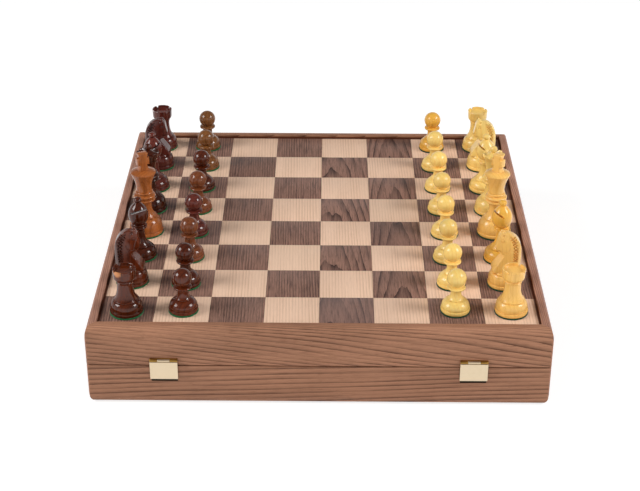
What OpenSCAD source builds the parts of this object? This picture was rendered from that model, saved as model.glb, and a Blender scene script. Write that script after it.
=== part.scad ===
// Hinged chess case with its set of chessmen standing on the lid.
//
// Two equal shallow trays of mitred walnut rails close on each other. The upper
// tray, the lid, carries an inlaid board in a recess. The lower tray, the base,
// has felt-lined compartments. Two butt hinges join the trays at the back and
// two flap latches hold them shut at the front.
//
// The case stands on its underside. Latches face -Y, hinges face +Y, +Z is up.
// The origin is the middle of the footprint, on the surface the case stands on.

/* [Board] */
// Side of one square of the board
square = 45.2; // [42:0.2:56]
// Thickness of the veneer squares
veneer_t = 0.8; // [0.5:0.1:1.6]
// Glue line around each veneer square
glue_line = 0.1; // [0.05:0.05:0.4]
// Thickness of the panel under the veneer
core_t = 5; // [3:0.5:8]
// Depth of the playing surface below the rim
board_recess = 3.4; // [1:0.2:6]

/* [Case] */
// Height of the closed case
case_h = 73.6; // [66:0.4:100]
// Thickness of the rails
rail_t = 9.2; // [8.6:0.2:16]
// Width that the rounded outer edges take off the rim
round_w = 4.6; // [2:0.2:6]
// Height of the rounding along the lid's upper edge
lid_round_h = 12.6; // [4:0.2:16]
// Height of the rounding along the base's lower edge
base_round_h = 10.6; // [4:0.2:16]
// Chamfer along both sides of the seam
seam_ease = 0.5; // [0.2:0.1:1.2]
// Chamfer of the upright corners
corner_ease = 1.2; // [0.4:0.2:3]
// Depth of the grooves that hold the panels
groove_d = 4; // [2:0.5:6]
// Thickness of the bottom panel
bottom_t = 4; // [3:0.5:7]
// Depth of the bottom panel above the underside
bottom_recess = 3.4; // [1:0.2:6]
// Thickness of the felt linings
felt_t = 1; // [0.5:0.25:2]

/* [Compartments] */
// Clear width of each side compartment
bay_w = 112; // [60:1:140]
// Thickness of the dividers
divider_t = 5; // [3:0.5:8]
// Distance of the dividers' upper edges below the seam
divider_drop = 4.4; // [2:0.2:12]
// Depth of the slots that hold the cross divider
slot_d = 2; // [1:0.25:2.5]

/* [Hinges] */
// Distance of each hinge from the middle of the back
hinge_x = 115; // [60:1:140]
// Length of each hinge
hinge_l = 36; // [28:1:60]
// Depth of the hinge leaves in the rails
leaf_w = 7.4; // [6:0.2:8]
// Thickness of the hinge leaves
leaf_t = 1; // [0.8:0.1:1.6]
// Diameter of the hinge knuckles
knuckle_d = 5; // [4.4:0.2:8]
// Diameter of the hinge pins
hinge_pin_d = 2.5; // [1.6:0.1:3]
// Radial play of a pin in a knuckle that turns on it
pin_play = 0.05; // [0.02:0.01:0.1]
// Gap between neighbouring knuckles
knuckle_gap = 0.3; // [0.2:0.1:0.6]
// Gap between the knuckles and the back of the case
knuckle_air = 0.2; // [0.1:0.1:1]
// Diameter of the hinge screws
hinge_screw_d = 2.2; // [1.6:0.1:2.8]
// Length of the hinge screws
hinge_screw_l = 12; // [6:1:20]
// Distance between the two screws of one leaf
hinge_screw_pitch = 22; // [16:1:26]

/* [Latches] */
// Distance of each latch from the middle of the front
latch_x = 126.6; // [60:0.2:150]
// Width of a latch flap
latch_w = 22.8; // [20:0.2:40]
// Height of a latch flap
latch_h = 16.2; // [15.6:0.2:24]
// Height of the flap's upper edge above the seam
latch_rise = 5.2; // [4.6:0.2:8]
// Thickness of the flap
flap_t = 1; // [0.6:0.1:1.2]
// Diameter of the latch barrels
barrel_d = 2.2; // [2:0.1:4]
// Diameter of the latch pins
latch_pin_d = 1; // [0.8:0.1:1.2]
// Length of the barrel in the middle of the flap
flap_barrel_l = 10; // [6:0.5:14]
// Thickness of the bracket and keeper plates
plate_t = 0.6; // [0.4:0.1:1]
// How far each end of the keeper plate stands in from the flap's end
keeper_inset = 0.6; // [0:0.1:2]
// How far the keeper plate reaches below the flap
keeper_drop = 3.4; // [0:0.2:3.6]
// Width of the flap's lip and of the ridge that it closes under
catch_w = 14; // [12:0.5:18]
// Diameter of the latch screws
latch_screw_d = 1.6; // [1.2:0.1:2]
// Length of the latch screws in the wood
latch_screw_l = 6; // [4:0.5:7]
// Distance between the two screws of a bracket or keeper
latch_screw_pitch = 8.4; // [7:0.2:10]
// Running gap between latch parts that pass each other
latch_air = 0.3; // [0.2:0.05:0.5]

/* [Men in common] */
// Thickness of the baize under each man
baize_t = 1.2; // [0.6:0.1:2]
// Height of the foot ring of each man
foot_h = 3.2; // [2:0.2:5]
// Thickness of the thin beads turned on each man
bead_t = 1.3; // [0.8:0.1:2]

/* [Pawns] */
// Diameter of a pawn's foot
pawn_d = 25; // [20:0.2:32]
// Height of a pawn
pawn_h = 39.2; // [37:0.2:52]
// Height of a pawn's bell above its foot ring
pawn_bell_h = 7.2; // [6:0.2:10]
// Diameter of a pawn's stem
pawn_stem_d = 8.8; // [6:0.2:11]
// Diameter of a pawn's collar
pawn_collar_d = 15.2; // [12:0.2:20]
// Thickness of a pawn's collar
pawn_collar_t = 1.8; // [1.4:0.1:2.4]
// Diameter of a pawn's ball
pawn_ball_d = 16; // [14:0.2:18]

/* [Rooks] */
// Diameter of a rook's foot
rook_d = 28; // [24:0.5:36]
// Height of a rook
rook_h = 41.5; // [38:0.5:56]
// Height of a rook's bell above its foot ring
rook_bell_h = 7.8; // [6:0.2:11]
// Diameter of a rook's waist
rook_waist_d = 13.2; // [9:0.2:15]
// Diameter of a rook's battlement
castle_d = 19.2; // [16:0.2:22]
// Height of a rook's battlement
castle_h = 9.4; // [7:0.2:11]
// Depth of the hollow in a rook's top
castle_depth = 2.6; // [2:0.2:5]
// Wall of a rook's battlement
castle_wall = 1.2; // [1:0.1:3]

/* [Knights] */
// Diameter of a knight's foot
knight_d = 28; // [24:0.5:36]
// Height of a knight
knight_h = 52; // [48:0.5:66]
// Height of a knight's bell above its foot ring
knight_bell_h = 8.7; // [6:0.1:12]
// Thickness of a knight's head at the neck
knight_t = 13; // [10:0.5:18]
// Width of the bevelled band down a knight's back
knight_band = 3.2; // [2:0.2:4]

/* [Bishops] */
// Diameter of a bishop's foot
bishop_d = 28.6; // [24:0.5:36]
// Height of a bishop
bishop_h = 57.5; // [54:0.5:72]
// Height of a bishop's bell above its foot ring
bishop_bell_h = 6.8; // [5:0.2:10]
// Diameter of a bishop's stem
bishop_stem_d = 9; // [6:0.2:12]
// Diameter of a bishop's widest collar
bishop_collar_d = 14; // [12:0.2:19]
// Thickness of each of a bishop's collars
bishop_collar_t = 1.5; // [1:0.1:2]
// Diameter of a bishop's mitre
mitre_d = 17.4; // [14:0.2:22]
// Height of a bishop's mitre without its finial
mitre_h = 20; // [16:0.5:24]
// Diameter of a bishop's finial
finial_d = 7; // [5:0.2:8]
// Height of a bishop's finial
finial_h = 5.2; // [4:0.2:7]
// Width of the cut in a bishop's mitre
mitre_cut = 1.5; // [0.8:0.1:2.2]

/* [Queens] */
// Diameter of a queen's foot
queen_d = 30; // [26:0.5:38]
// Height of a queen
queen_h = 66.5; // [62:0.5:88]
// Height of a queen's bell above its foot ring
queen_bell_h = 10; // [7:0.5:13]
// Diameter of a queen's stem
queen_stem_d = 10.4; // [7:0.2:13]
// Diameter of a queen's widest collar
queen_collar_d = 17.8; // [15:0.2:24]
// Diameter of a queen's waist above her collars
queen_waist_d = 12.4; // [10:0.2:14]
// Diameter of a queen's coronet
coronet_d = 20.6; // [17:0.2:26]
// Height of a queen's head from her lowest collar to the coronet's rim
coronet_h = 28; // [24:0.5:32]

/* [Kings] */
// Diameter of a king's foot
king_d = 31; // [26:0.5:38]
// Height of a king with its cross
king_h = 78.7; // [76:0.1:100]
// Height of a king's bell above its foot ring
king_bell_h = 11.8; // [8:0.2:15]
// Diameter of a king's stem
king_stem_d = 11.6; // [8:0.2:14]
// Diameter of a king's widest collar
king_collar_d = 19.4; // [17:0.2:26]
// Diameter of a king's waist above his collars
king_waist_d = 14; // [11:0.2:16]
// Diameter of a king's crown
crown_d = 22.4; // [19:0.2:28]
// Height of a king's head from his lowest collar to the crown's rim
crown_h = 27; // [23:0.5:31]
// Height of a king's cross
cross_h = 17.5; // [12:0.5:20]
// Width of a king's cross
cross_w = 11; // [8:0.5:16]
// Thickness of a king's cross
cross_t = 6.4; // [4:0.2:8]

/* [Hidden] */
squares_across = 8;
men_rows = [1 : squares_across];
$fn = 64;

// Case planes
board_w = square * squares_across;
inner = board_w / 2;             // inner faces of the rails
outer = inner + rail_t;          // outer faces of the rails
seam_z = case_h / 2;
board_z = case_h - board_recess; // playing surface
core_top = board_z - veneer_t;
core_bottom = core_top - core_t;
panel_w = board_w + 2 * groove_d;
floor_z = bottom_recess + bottom_t + felt_t;
divider_top = seam_z - divider_drop;
divider_h = divider_top - floor_z;
divider_x = inner - bay_w;       // outer face of a long divider
sides = [-1, 1];
over = 1;                        // how far a cutting tool runs past what it cuts

// Hinge places
knuckle_r = knuckle_d / 2;
hinge_y = outer + knuckle_air + knuckle_r;
hinge_pin_r = hinge_pin_d / 2;
knuckle_l = (hinge_l - 2 * knuckle_gap) / 3;
leaf_reach = hinge_y - (hinge_pin_r + knuckle_r) / 2;
hinge_screw_y = outer - leaf_w / 2;

// Latch places, measured outwards from the front of the case
barrel_r = barrel_d / 2;
barrel_y = -(outer + plate_t + knuckle_air + barrel_r);
edge_air = 0.1;                  // gap between the flap's edge and the barrels
flap_top = seam_z + latch_rise;
flap_bottom = flap_top - latch_h;
barrel_z = flap_top + edge_air + barrel_r;
flap_front = barrel_y - barrel_r;
flap_back = flap_front + flap_t;
latch_pin_r = latch_pin_d / 2;
ear_l = (latch_w - flap_barrel_l) / 2 - latch_air;
lip_h = 0.8;                     // lip along the flap's lower edge
lip_d = (-(outer + plate_t) - flap_back - latch_air) / 2;
nose_h = 1.2;                    // ridge of the keeper above that lip
nose_y = flap_back + lip_d + latch_air;
nose_z = flap_bottom + lip_h + latch_air;
keeper_w = latch_w - 2 * keeper_inset;
keeper_bottom = flap_bottom - keeper_drop;
screw_head_h = (-(outer + plate_t) - flap_back) / 3;
screw_head_r = latch_screw_d * 0.85;
bracket_w = latch_w - 2;
bracket_z = seam_z + seam_ease;
bracket_screw_z = (bracket_z + barrel_z - barrel_r) / 2;
keeper_top = seam_z - seam_ease - 1;
keeper_screw_z = (nose_z + nose_h + keeper_top) / 2;

// ------------------------------------------------------------------ curves

// Points on an ellipse's arc, angles in degrees
function oval(cx, cy, rx, ry, from, to, steps = 8) =
    [for (i = [0 : steps]) let (a = from + (to - from) * i / steps)
        [cx + rx * cos(a), cy + ry * sin(a)]];

// Points on a Bezier curve after its first point
function bend(p0, p1, p2, p3, steps = 8) =
    [for (i = [1 : steps]) let (t = i / steps, u = 1 - t)
        u * u * u * p0 + 3 * u * u * t * p1 + 3 * u * t * t * p2 + t * t * t * p3];

// A turned bead whose outermost point is at radius r, standing on height z
function bead(r, z, t) = oval(r - t / 2, z + t / 2, t / 2, t / 2, -90, 90, 6);

// A slender neck from radius r0 at z0 in to r at its waist and out to r1 at z1
function neck(r0, z0, r, z, r1, z1) = concat(
    [[r0, z0]],
    bend([r0, z0], [r0 - (r0 - r) * 0.75, z0 + (z - z0) * 0.25],
         [r, z0 + (z - z0) * 0.55], [r, z]),
    bend([r, z], [r, z + (z1 - z) * 0.45],
         [r1 - (r1 - r) * 0.7, z1 - (z1 - z) * 0.2], [r1, z1])
);

// A whole outline from the half of it on the +X side
function mirrored(half) =
    concat(half, [for (i = [len(half) - 1 : -1 : 0]) [-half[i][0], half[i][1]]]);

// ------------------------------------------------------------------- rails

// Cross-section of a lid rail: distance from the middle of the case, height
lid_section = concat(
    [[inner, seam_z], [outer - seam_ease, seam_z], [outer, seam_z + seam_ease]],
    oval(outer - round_w, case_h - lid_round_h, round_w, lid_round_h, 0, 90, 12),
    [[inner, case_h], [inner, core_top], [inner + groove_d, core_top],
     [inner + groove_d, core_bottom], [inner, core_bottom]]
);

// Cross-section of a base rail
base_section = concat(
    [[inner, 0]],
    oval(outer - round_w, base_round_h, round_w, base_round_h, -90, 0, 12),
    [[outer, seam_z - seam_ease], [outer - seam_ease, seam_z], [inner, seam_z],
     [inner, bottom_recess + bottom_t], [inner + groove_d, bottom_recess + bottom_t],
     [inner + groove_d, bottom_recess], [inner, bottom_recess]]
);

// One mitred rail. turn 0 is the right side, 90 back, 180 left, 270 front
module rail(section, turn) {
    ease = corner_ease;
    rotate([0, 0, turn]) intersection() {
        rotate([90, 0, 0]) linear_extrude(2 * outer, center = true) polygon(section);
        translate([0, 0, -over]) linear_extrude(case_h + 2 * over)
            polygon([[0, 0], [outer - ease / 2, ease / 2 - outer], [outer, ease - outer],
                     [outer, outer - ease], [outer - ease / 2, outer - ease / 2]]);
    }
}

// Holes for the latch screws along a front rail, at height z
module latch_pilots(z) {
    for (side = sides) for (end = sides)
        translate([side * latch_x + end * latch_screw_pitch / 2, -outer - over, z])
            rotate([-90, 0, 0]) cylinder(h = latch_screw_l + over, d = latch_screw_d);
}

// Mortises and holes for the hinges in a back rail. up is 1 in the lid, -1 in the base
module hinge_seats(up) {
    for (side = sides) {
        translate([side * hinge_x, outer, seam_z + up * leaf_t / 2])
            cube([hinge_l, 2 * leaf_w, leaf_t], center = true);
        for (end = sides)
            translate([side * hinge_x + end * hinge_screw_pitch / 2, hinge_screw_y, seam_z])
                rotate([up > 0 ? 0 : 180, 0, 0])
                    cylinder(h = hinge_screw_l, d = hinge_screw_d);
    }
}

module base_front_rail() {
    color("#8c6a52") difference() {
        rail(base_section, 270);
        latch_pilots(keeper_screw_z);
    }
}

module base_back_rail() {
    color("#8c6a52") difference() {
        rail(base_section, 90);
        hinge_seats(-1);
    }
}

module base_left_rail() {
    color("#86654e") rail(base_section, 180);
}

module base_right_rail() {
    color("#86654e") rail(base_section, 0);
}

module lid_front_rail() {
    color("#956f56") difference() {
        rail(lid_section, 270);
        latch_pilots(bracket_screw_z);
    }
}

module lid_back_rail() {
    color("#956f56") difference() {
        rail(lid_section, 90);
        hinge_seats(1);
    }
}

module lid_left_rail() {
    color("#8f6a52") rail(lid_section, 180);
}

module lid_right_rail() {
    color("#8f6a52") rail(lid_section, 0);
}

// ------------------------------------------------- panels, linings, dividers

// A square sheet of width w lying with its lower face at height z
module sheet(w, z, t) {
    translate([-w / 2, -w / 2, z]) cube([w, w, t]);
}

module base_panel() {
    color("#7a5a45") sheet(panel_w, bottom_recess, bottom_t);
}

module base_lining() {
    color("#2f5d3f") sheet(board_w, bottom_recess + bottom_t, felt_t);
}

module board_core() {
    color("#b08a63") sheet(panel_w, core_bottom, core_t);
}

module lid_lining() {
    color("#2f5d3f") sheet(board_w, core_bottom - felt_t, felt_t);
}

// The veneer squares of one colour. parity 0 takes the front left square
module veneers(parity) {
    side_w = square - glue_line;
    for (i = [0 : squares_across - 1]) for (j = [0 : squares_across - 1])
        if ((i + j) % 2 == parity)
            translate([square * i - inner + glue_line / 2,
                       square * j - inner + glue_line / 2, core_top])
                cube([side_w, side_w, veneer_t]);
}

module dark_squares() {
    color("#6b5348") veneers(0);
}

module light_squares() {
    color("#cdb08c") veneers(1);
}

// A divider that runs from the front rail to the back rail. side is -1 or 1
module long_divider(side) {
    difference() {
        translate([side * (divider_x - divider_t / 2), 0, floor_z + divider_h / 2])
            cube([divider_t, board_w, divider_h], center = true);
        cross_board();
    }
}

// The board of the cross divider, with its ends let into the long dividers
module cross_board() {
    length = 2 * (divider_x - divider_t + slot_d);
    translate([0, 0, floor_z + divider_h / 2])
        cube([length, divider_t, divider_h], center = true);
}

module divider_left() {
    color("#7f5f49") long_divider(-1);
}

module divider_right() {
    color("#7f5f49") long_divider(1);
}

module divider_cross() {
    color("#7f5f49") cross_board();
}

// ------------------------------------------------------------------ hinges

// A screw hole or screw with a flush conical head, pointing down from its mouth
module flush_screw(d, length) {
    translate([0, 0, -length]) cylinder(h = length, d = d);
    translate([0, 0, -leaf_t]) cylinder(h = leaf_t, d1 = d, d2 = d * 1.8);
}

// The leaf of one hinge with knuckles at the x places in centres. up as above
module hinge_leaf(up, centres, bore_r) {
    difference() {
        union() {
            translate([-hinge_l / 2, outer - leaf_w, up > 0 ? 0 : -leaf_t])
                cube([hinge_l, leaf_w, leaf_t]);
            for (x = centres) {
                translate([x - knuckle_l / 2, outer - leaf_w, up > 0 ? 0 : -leaf_t])
                    cube([knuckle_l, leaf_reach - outer + leaf_w, leaf_t]);
                translate([x - knuckle_l / 2, hinge_y, 0]) rotate([0, 90, 0])
                    cylinder(h = knuckle_l, r = knuckle_r);
            }
        }
        translate([-hinge_l / 2 - over, hinge_y, 0]) rotate([0, 90, 0])
            cylinder(h = hinge_l + 2 * over, r = bore_r);
        for (end = sides)
            translate([end * hinge_screw_pitch / 2, hinge_screw_y, 0])
                mirror([0, 0, up > 0 ? 1 : 0]) flush_screw(hinge_screw_d, 2 * leaf_t);
    }
}

module hinge_base_leaves() {
    color("#c8a452") for (side = sides)
        translate([side * hinge_x, 0, seam_z]) hinge_leaf(-1, [0], hinge_pin_r);
}

module hinge_lid_leaves() {
    step = knuckle_l + knuckle_gap;
    color("#c8a452") for (side = sides)
        translate([side * hinge_x, 0, seam_z])
            hinge_leaf(1, [-step, step], hinge_pin_r + pin_play);
}

module hinge_pins() {
    color("#b8954a") for (side = sides)
        translate([side * hinge_x - hinge_l / 2, hinge_y, seam_z])
            rotate([0, 90, 0]) cylinder(h = hinge_l, r = hinge_pin_r);
}

// ----------------------------------------------------------------- latches

// A barrel along X at the latch axis, from x0 to x1
module barrel(x0, x1, r) {
    translate([x0, barrel_y, barrel_z]) rotate([0, 90, 0]) cylinder(h = x1 - x0, r = r);
}

// The plate on the lid with an ear at each end of the latch pin
module latch_bracket() {
    difference() {
        union() {
            translate([-bracket_w / 2, -outer - plate_t, bracket_z])
                cube([bracket_w, plate_t, barrel_z + barrel_r - bracket_z]);
            for (end = sides) {
                x0 = end > 0 ? latch_w / 2 - ear_l : -latch_w / 2;
                barrel(x0, x0 + ear_l, barrel_r);
                translate([x0, barrel_y, barrel_z])
                    cube([ear_l, -outer - barrel_y, barrel_r]);
            }
        }
        barrel(-latch_w / 2 - over, latch_w / 2 + over, latch_pin_r);
        for (end = sides)
            translate([end * latch_screw_pitch / 2, -outer - over, bracket_screw_z])
                rotate([-90, 0, 0]) cylinder(h = 2 * over, d = latch_screw_d);
    }
}

// The flap that swings on the pin and hangs over the seam
module latch_flap() {
    difference() {
        union() {
            translate([-latch_w / 2, flap_front, flap_bottom])
                cube([latch_w, flap_t, latch_h]);
            translate([-flap_barrel_l / 2, flap_front, flap_top - over])
                cube([flap_barrel_l, flap_t, barrel_z - flap_top + over]);
            barrel(-flap_barrel_l / 2, flap_barrel_l / 2, barrel_r);
            translate([-catch_w / 2, flap_back, flap_bottom])
                cube([catch_w, lip_d, lip_h]);
        }
        barrel(-latch_w / 2, latch_w / 2, latch_pin_r + pin_play);
    }
}

// The plate on the base with the ridge that the flap's lip closes under
module latch_keeper() {
    difference() {
        union() {
            translate([-keeper_w / 2, -outer - plate_t, keeper_bottom])
                cube([keeper_w, plate_t, keeper_top - keeper_bottom]);
            translate([-catch_w / 2, nose_y, nose_z])
                cube([catch_w, -outer - nose_y, nose_h]);
        }
        for (end = sides)
            translate([end * latch_screw_pitch / 2, -outer - over, keeper_screw_z])
                rotate([-90, 0, 0]) cylinder(h = 2 * over, d = latch_screw_d);
    }
}

module latch_brackets() {
    color("#a98d4c") for (side = sides) translate([side * latch_x, 0, 0]) latch_bracket();
}

module latch_flap_left() {
    color("#dcc99a") translate([-latch_x, 0, 0]) latch_flap();
}

module latch_flap_right() {
    color("#dcc99a") translate([latch_x, 0, 0]) latch_flap();
}

module latch_pins() {
    color("#a98d4c") for (side = sides)
        translate([side * latch_x, 0, 0]) barrel(-latch_w / 2, latch_w / 2, latch_pin_r);
}

module latch_keepers() {
    color("#2a2620") for (side = sides) translate([side * latch_x, 0, 0]) latch_keeper();
}

// ------------------------------------------------------------------ screws

// The screws of both leaves on one side of the seam, pointing away from it
module hinge_screws(up) {
    for (side = sides) for (end = sides)
        translate([side * hinge_x + end * hinge_screw_pitch / 2, hinge_screw_y, seam_z])
            mirror([0, 0, up > 0 ? 1 : 0]) flush_screw(hinge_screw_d, hinge_screw_l);
}

// Round-headed screws through the latch plates at height z
module latch_screws(z) {
    for (side = sides) for (end = sides)
        translate([side * latch_x + end * latch_screw_pitch / 2, -outer, z])
            rotate([-90, 0, 0]) {
                translate([0, 0, -plate_t])
                    cylinder(h = latch_screw_l + plate_t, d = latch_screw_d);
                translate([0, 0, -plate_t - screw_head_h])
                    cylinder(h = screw_head_h, r = screw_head_r);
            }
}

module lid_screws() {
    color("#b9a262") {
        hinge_screws(1);
        latch_screws(bracket_screw_z);
    }
}

module base_screws() {
    color("#b9a262") {
        hinge_screws(-1);
        latch_screws(keeper_screw_z);
    }
}

// ---------------------------------------------------------------- chessmen

// The baize, foot ring and bell of a man whose foot has diameter d. The bell
// closes in to radius neck_r and carries a bead, on which the next part stands.
function bell_top(bell_h) = baize_t + foot_h + bell_h + bead_t;
function bell(d, bell_h, neck_r) =
    let (r = d / 2, foot_z = baize_t + foot_h, top_z = foot_z + bell_h)
    concat(
        [[0, 0], [r, 0], [r, baize_t]],
        oval(r - 0.8, baize_t + foot_h / 2, 0.6, foot_h / 2, -90, 62, 6),
        [[r - 1.1, foot_z - 0.1]],
        bend([r - 1.1, foot_z - 0.1], [r - 0.1, foot_z + bell_h * 0.4],
             [neck_r + (r - neck_r) * 0.55, foot_z + bell_h * 0.86],
             [neck_r + 0.3, top_z], 10),
        bead(neck_r + 0.3, top_z, bead_t)
    );

// Spins a half outline that starts and ends on the axis
module turned(outline) {
    rotate_extrude() polygon(outline);
}

module pawn() {
    ball_r = pawn_ball_d / 2;
    ball_z = pawn_h - ball_r;
    collar_z = ball_z - ball_r * 0.94 - pawn_collar_t;
    neck_r = pawn_d * 0.26;
    foot = bell_top(pawn_bell_h);
    turned(concat(
        bell(pawn_d, pawn_bell_h, neck_r),
        neck(neck_r - 0.4, foot, pawn_stem_d / 2, foot + (collar_z - foot) * 0.6,
             pawn_stem_d / 2 + 1.2, collar_z),
        bead(pawn_collar_d / 2, collar_z, pawn_collar_t),
        oval(0, ball_z, ball_r, ball_r, -58, 90, 14)
    ));
}

module rook() {
    top_r = castle_d / 2;
    neck_r = rook_d * 0.36;
    foot = bell_top(rook_bell_h);
    castle_z = rook_h - castle_h;
    throat_r = rook_waist_d / 2 + 0.7;
    throat_z = castle_z - bead_t * 1.6;
    hollow_r = top_r - castle_wall;
    notch_turn = 36;
    notch_w = 2;
    notch_foot = 0.5;
    notch_h = castle_depth * 0.75;
    difference() {
        turned(concat(
            bell(rook_d, rook_bell_h, neck_r),
            neck(neck_r - 0.4, foot, rook_waist_d / 2, foot + (throat_z - foot) * 0.75,
                 throat_r, throat_z),
            [[throat_r, castle_z]],
            bend([throat_r, castle_z], [top_r - 1, castle_z],
                 [top_r - 0.5, castle_z + 0.8], [top_r - 0.3, castle_z + 2.6], 6),
            [[top_r, rook_h], [hollow_r, rook_h], [hollow_r, rook_h - castle_depth],
             [0, rook_h - castle_depth - 0.5]]
        ));
        // Four notches in the battlement, narrower at the foot
        for (turn = [0 : 90 : 270]) rotate([0, 0, turn + notch_turn])
            translate([hollow_r - 1, 0, rook_h]) rotate([0, 90, 0])
                linear_extrude(castle_wall + 2)
                    polygon([[-over, -notch_w], [notch_h, -notch_foot],
                             [notch_h, notch_foot], [-over, notch_w]]);
    }
}

// Side outline of a knight's head, facing +X, for a head of height h above z.
// It runs from the chest over throat, muzzle, forehead, ear and crest to the back.
function knight_side(z, h) = concat(
    [[11.2, z]],
    bend([11.2, z], [10.6, z + h * 0.12], [6, z + h * 0.24], [1.8, z + h * 0.42], 6),
    bend([1.8, z + h * 0.42], [3.4, z + h * 0.47], [5.8, z + h * 0.49],
         [8, z + h * 0.53], 3),
    bend([8, z + h * 0.53], [9, z + h * 0.58], [8.8, z + h * 0.64],
         [8.2, z + h * 0.68], 4),
    bend([8.2, z + h * 0.68], [7.4, z + h * 0.76], [7.2, z + h * 0.84],
         [6.7, z + h * 0.89], 4),
    [[4.3, z + h], [0.8, z + h * 0.965]],
    bend([0.8, z + h * 0.97], [-6.4, z + h * 0.96], [-13, z + h * 0.76],
         [-13, z + h * 0.5], 9),
    bend([-13, z + h * 0.5], [-13.2, z + h * 0.3], [-13.1, z + h * 0.16],
         [-12, z], 4)
);

// Front outline of a knight's head: wide at the neck, narrow at the ears
function knight_front(z, h, t) = concat(
    [[t / 2 + 1.6, z - over]],
    bend([t / 2 + 1.6, z - over], [t / 2, z + h * 0.3], [t / 2, z + h * 0.4],
         [t / 2 - 0.6, z + h * 0.6], 5),
    bend([t / 2 - 0.6, z + h * 0.6], [t / 2 - 1.4, z + h * 0.8], [3.4, z + h * 0.9],
         [2.4, z + h + over], 5)
);

// Half plan of a knight's head facing +Y, from the muzzle back to the bevelled band
function knight_plan(t, band) =
    let (side = t / 2 + 2, edge = side - 1.6)
    [[side, 14], [side, 4], [edge, band - 13], [edge - band * 1.2, -13],
     [edge - band * 1.6, -14]];

// The flat cut between a knight's two ears, looking along X
function knight_ears(z, h) = [[0, z + h * 0.88], [2, z + h + over], [-2, z + h + over]];

module knight() {
    z = bell_top(knight_bell_h);
    h = knight_h - z;
    neck_r = knight_d * 0.38;
    turned(concat(bell(knight_d, knight_bell_h, neck_r), [[neck_r - 0.4, z], [0, z]]));
    difference() {
        intersection() {
            rotate([90, 0, 0]) linear_extrude(knight_d, center = true)
                polygon(knight_side(z, h));
            rotate([90, 0, 90]) linear_extrude(knight_d + 4, center = true)
                polygon(mirrored(knight_front(z, h, knight_t)));
            rotate([0, 0, -90]) linear_extrude(knight_h + over)
                polygon(mirrored(knight_plan(knight_t, knight_band)));
        }
        rotate([90, 0, 90]) linear_extrude(knight_d + 4, center = true)
            polygon(knight_ears(z, h));
    }
}

module bishop() {
    r = mitre_d / 2;
    stem_r = bishop_stem_d / 2;
    collar_r = bishop_collar_d / 2;
    t = bishop_collar_t;
    neck_r = bishop_d * 0.31;
    foot = bell_top(bishop_bell_h);
    mitre_top = bishop_h - finial_h * 0.9;
    mitre_z = mitre_top - mitre_h;
    wide_z = mitre_z + mitre_h * 0.42;
    collars_z = mitre_z - 3 * t;
    difference() {
        turned(concat(
            bell(bishop_d, bishop_bell_h, neck_r),
            neck(neck_r - 0.4, foot, stem_r, foot + (collars_z - foot) * 0.7,
                 stem_r + 1.2, collars_z),
            bead(collar_r - 0.4, collars_z, t),
            bead(collar_r, collars_z + t, t),
            bead(collar_r - 0.6, collars_z + 2 * t, t),
            [[r * 0.62, mitre_z]],
            bend([r * 0.62, mitre_z], [r * 0.92, mitre_z + mitre_h * 0.1],
                 [r, wide_z - mitre_h * 0.14], [r, wide_z], 6),
            bend([r, wide_z], [r, wide_z + mitre_h * 0.3],
                 [r * 0.5, mitre_top - mitre_h * 0.1], [finial_d * 0.28, mitre_top], 8),
            oval(0, bishop_h - finial_h / 2, finial_d / 2, finial_h / 2, -50, 90, 8)
        ));
        // The slanted cut, open on the +X side
        translate([r, 0, mitre_z + mitre_h * 0.78]) rotate([0, -28, 0])
            cube([2.1 * r, 3 * r, mitre_cut], center = true);
    }
}

// Outline from a royal man's foot up to the rim of its head
function royal(d, bell_h, stem_d, collar_d, waist_d, head_d, head_h, rim_z) =
    let (neck_r = d * 0.31, foot = bell_top(bell_h), stem_r = stem_d / 2,
         collar_r = collar_d / 2, waist_r = waist_d / 2, z = rim_z - head_h,
         t = head_h * 0.1, waist_z = z + 3.7 * t, rise = rim_z - waist_z)
    concat(
        bell(d, bell_h, neck_r),
        neck(neck_r - 0.4, foot, stem_r, foot + (z - foot) * 0.66,
             stem_r + 1.2, z - t * 0.4),
        bead(collar_r - 0.2, z - t * 0.4, t * 0.95),
        [[collar_r - 1.9, z + t * 0.7]],
        bead(collar_r, z + t * 0.85, t * 1.1),
        [[collar_r - 2.2, z + t * 2.1]],
        bead(collar_r - 1.7, z + t * 2.3, t * 0.8),
        [[waist_r + 0.15, z + t * 3.3], [waist_r, waist_z]],
        bend([waist_r, waist_z], [waist_r - 0.5, waist_z + rise * 0.3],
             [waist_r + (head_d / 2 - waist_r) * 0.3, waist_z + rise * 0.58],
             [head_d / 2, rim_z], 8)
    );

module queen() {
    r = coronet_d / 2;
    pearl_r = coronet_d * 0.16;
    rim_z = queen_h - 2 * pearl_r - 1;
    difference() {
        turned(concat(
            royal(queen_d, queen_bell_h, queen_stem_d, queen_collar_d,
                  queen_waist_d, coronet_d, coronet_h, rim_z),
            [[r - 1.5, rim_z], [r - 2.5, rim_z - 1.4]],
            bend([r - 2.5, rim_z - 1.4], [r * 0.5, rim_z - 1], [r * 0.4, rim_z + 0.6],
                 [pearl_r * 0.7, rim_z + 1.4], 5),
            oval(0, queen_h - pearl_r, pearl_r, pearl_r, -45, 90, 8)
        ));
        // Scallops around the coronet
        for (i = [0 : 7]) rotate([0, 0, 45 * i + 22.5])
            translate([r * 0.62, 0, rim_z + 1]) rotate([0, 90, 0])
                cylinder(h = r, r = r * 0.26);
    }
}

// Half of a stout cross with shallow corners, standing on height z
function cross_half(z) =
    let (w = cross_w / 2, h = cross_h)
    [[w * 0.9, z], [w * 0.62, z + h * 0.24], [w * 0.6, z + h * 0.38],
     [w, z + h * 0.34], [w, z + h * 0.78], [w * 0.64, z + h * 0.7],
     [w * 0.62, z + h * 0.8], [w * 0.84, z + h]];

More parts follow.
